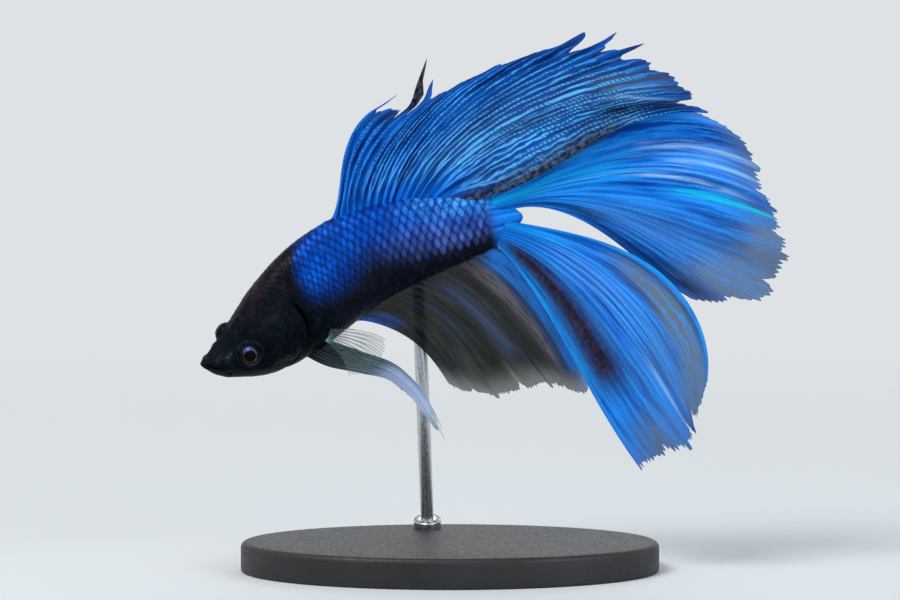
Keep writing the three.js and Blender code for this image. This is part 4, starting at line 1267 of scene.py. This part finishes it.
def build_stand():
    low, high = (np.array(corner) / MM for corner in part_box("stand_base"))
    length, width, height = high - low
    centre = (low + high) / 2 * [1, 1, 0] + low * [0, 0, 1]
    profile = rounded(length / 2, 0, height, BASE_BEVEL)
    foot = ["stand_base"]
    build_turned("stand_foot", profile, centre, UP, 240, base_material(), foot, width / length)
    metal = rod_material()
    top = body_point(ROD_TOP.s, math.radians(ROD_TOP.degrees))
    reach = float(np.linalg.norm(top - ROD_FOOT)) + ROD_TOP.set_in
    axis = unit(top - ROD_FOOT)
    pin = [(ROD_RADIUS, h) for h in np.linspace(0, reach, 12)]
    build_turned("stand_pin", pin, ROD_FOOT, axis, 48, metal, ["stand_rod"])
    seat = ROD_FOOT + axis * ((height - ROD_FOOT[2]) / axis[2])
    collar = rounded(COLLAR.radius, -0.3, COLLAR.height, COLLAR.bevel)
    build_turned("stand_collar", collar, seat, axis, 64, metal, ())


build_stand()


# ---- stage, light and camera, in metres ----
FLOOR_REACH, FLOOR_CORNER, WALL_TOP = 1.6, 0.5, 1.9
FISH_MIDDLE = Vector((0, 0, 0.04))
LIGHTS = {  # place, size, watts and colour
    "key": ((-0.42, -0.5, 0.78), (0.5, 0.4), 6.4, (1, 0.985, 0.96)),
    "fill": ((0.75, -0.62, 0.4), (0.6, 0.6), 2.9, (0.95, 0.975, 1)),
    "back": ((0.2, 0.85, 0.75), (0.8, 0.5), 2.2, (1, 1, 1)),
}
PAPER = (222, 226, 229)
CAMERA = Record(lens=120, away=0.4, above=math.radians(3), target=(0, 0, 0.03627))


def stage_material():
    """Pale paper: it takes the light and the shadow near the object, and further out it has an even tone."""
    look = Shader("stage", 0.9, 0.05, Base_Color=PAPER)
    away = look.node("VectorMath", [look.place()], output="Value", operation="LENGTH")
    seen = look.node("LightPath", output="Is Camera Ray")
    for kind in ("Glossy", "Transmission"):
        seen = seen.math("MAXIMUM", look.node("LightPath", output=f"Is {kind} Ray"))
    even = look.node("Emission", [PAPER, 1])
    lit = Value(look, look.principled.outputs[0])
    both = look.node("MixShader", [seen * away.remap(0.06, 0.45), lit, even])
    look.join(both, look.tree.nodes["Material Output"].inputs["Surface"])
    return look


def build_stage():
    """A pale floor that turns up into a round wall, far outside every view's camera."""
    rise, turn = np.linspace(0, math.pi / 2, 24), round_angles(96)
    bent = FLOOR_REACH - FLOOR_CORNER + FLOOR_CORNER * np.sin(rise)
    reach = np.concatenate([[0.2], bent, [FLOOR_REACH]])[:, None]
    height = np.concatenate([[0], FLOOR_CORNER - FLOOR_CORNER * np.cos(rise), [WALL_TOP]])[:, None]
    grid = np.stack(np.broadcast_arrays(reach * np.cos(turn), reach * np.sin(turn), height), -1)
    points = np.concatenate([grid.reshape(-1, 3), [[0, 0, 0]]])
    middle = fan(len(points) - 1, np.arange(len(turn)))
    faces = [grid_faces(len(reach), len(turn), closed=True), middle]
    make_mesh("floor", points, faces, stage_material())


def build_lights():
    for name, (place, size, watts, colour) in LIGHTS.items():
        light = bpy.data.lights.new(name, "AREA")
        light.shape = "RECTANGLE"
        light.size, light.size_y = size
        light.energy, light.color = watts, colour
        made = add_to_scene(name, light)
        made.location = place
        made.rotation_euler = (FISH_MIDDLE - Vector(place)).to_track_quat("-Z", "Y").to_euler()
    world = bpy.data.worlds.new("studio")
    bpy.context.scene.world = world
    world.use_nodes = True
    background = world.node_tree.nodes["Background"]
    background.inputs["Color"].default_value = (0.93, 0.97, 1, 1)
    background.inputs["Strength"].default_value = 0.5


def build_camera():
    """The photograph's view: level with the fish, a little from above, through a long lens."""
    camera = add_to_scene("camera", bpy.data.cameras.new("camera"))
    camera.data.lens, camera.data.sensor_width = CAMERA.lens, 36
    camera.data.clip_start, camera.data.clip_end = 0.02, 10
    above = CAMERA.above
    back = Vector((0, -math.cos(above), math.sin(above)))
    camera.location = Vector(CAMERA.target) + back * CAMERA.away
    camera.rotation_euler = (math.pi / 2 - above, 0, 0)
    bpy.context.scene.camera = camera


build_stage()
build_lights()
build_camera()
bpy.context.scene.view_settings.view_transform = "Standard"
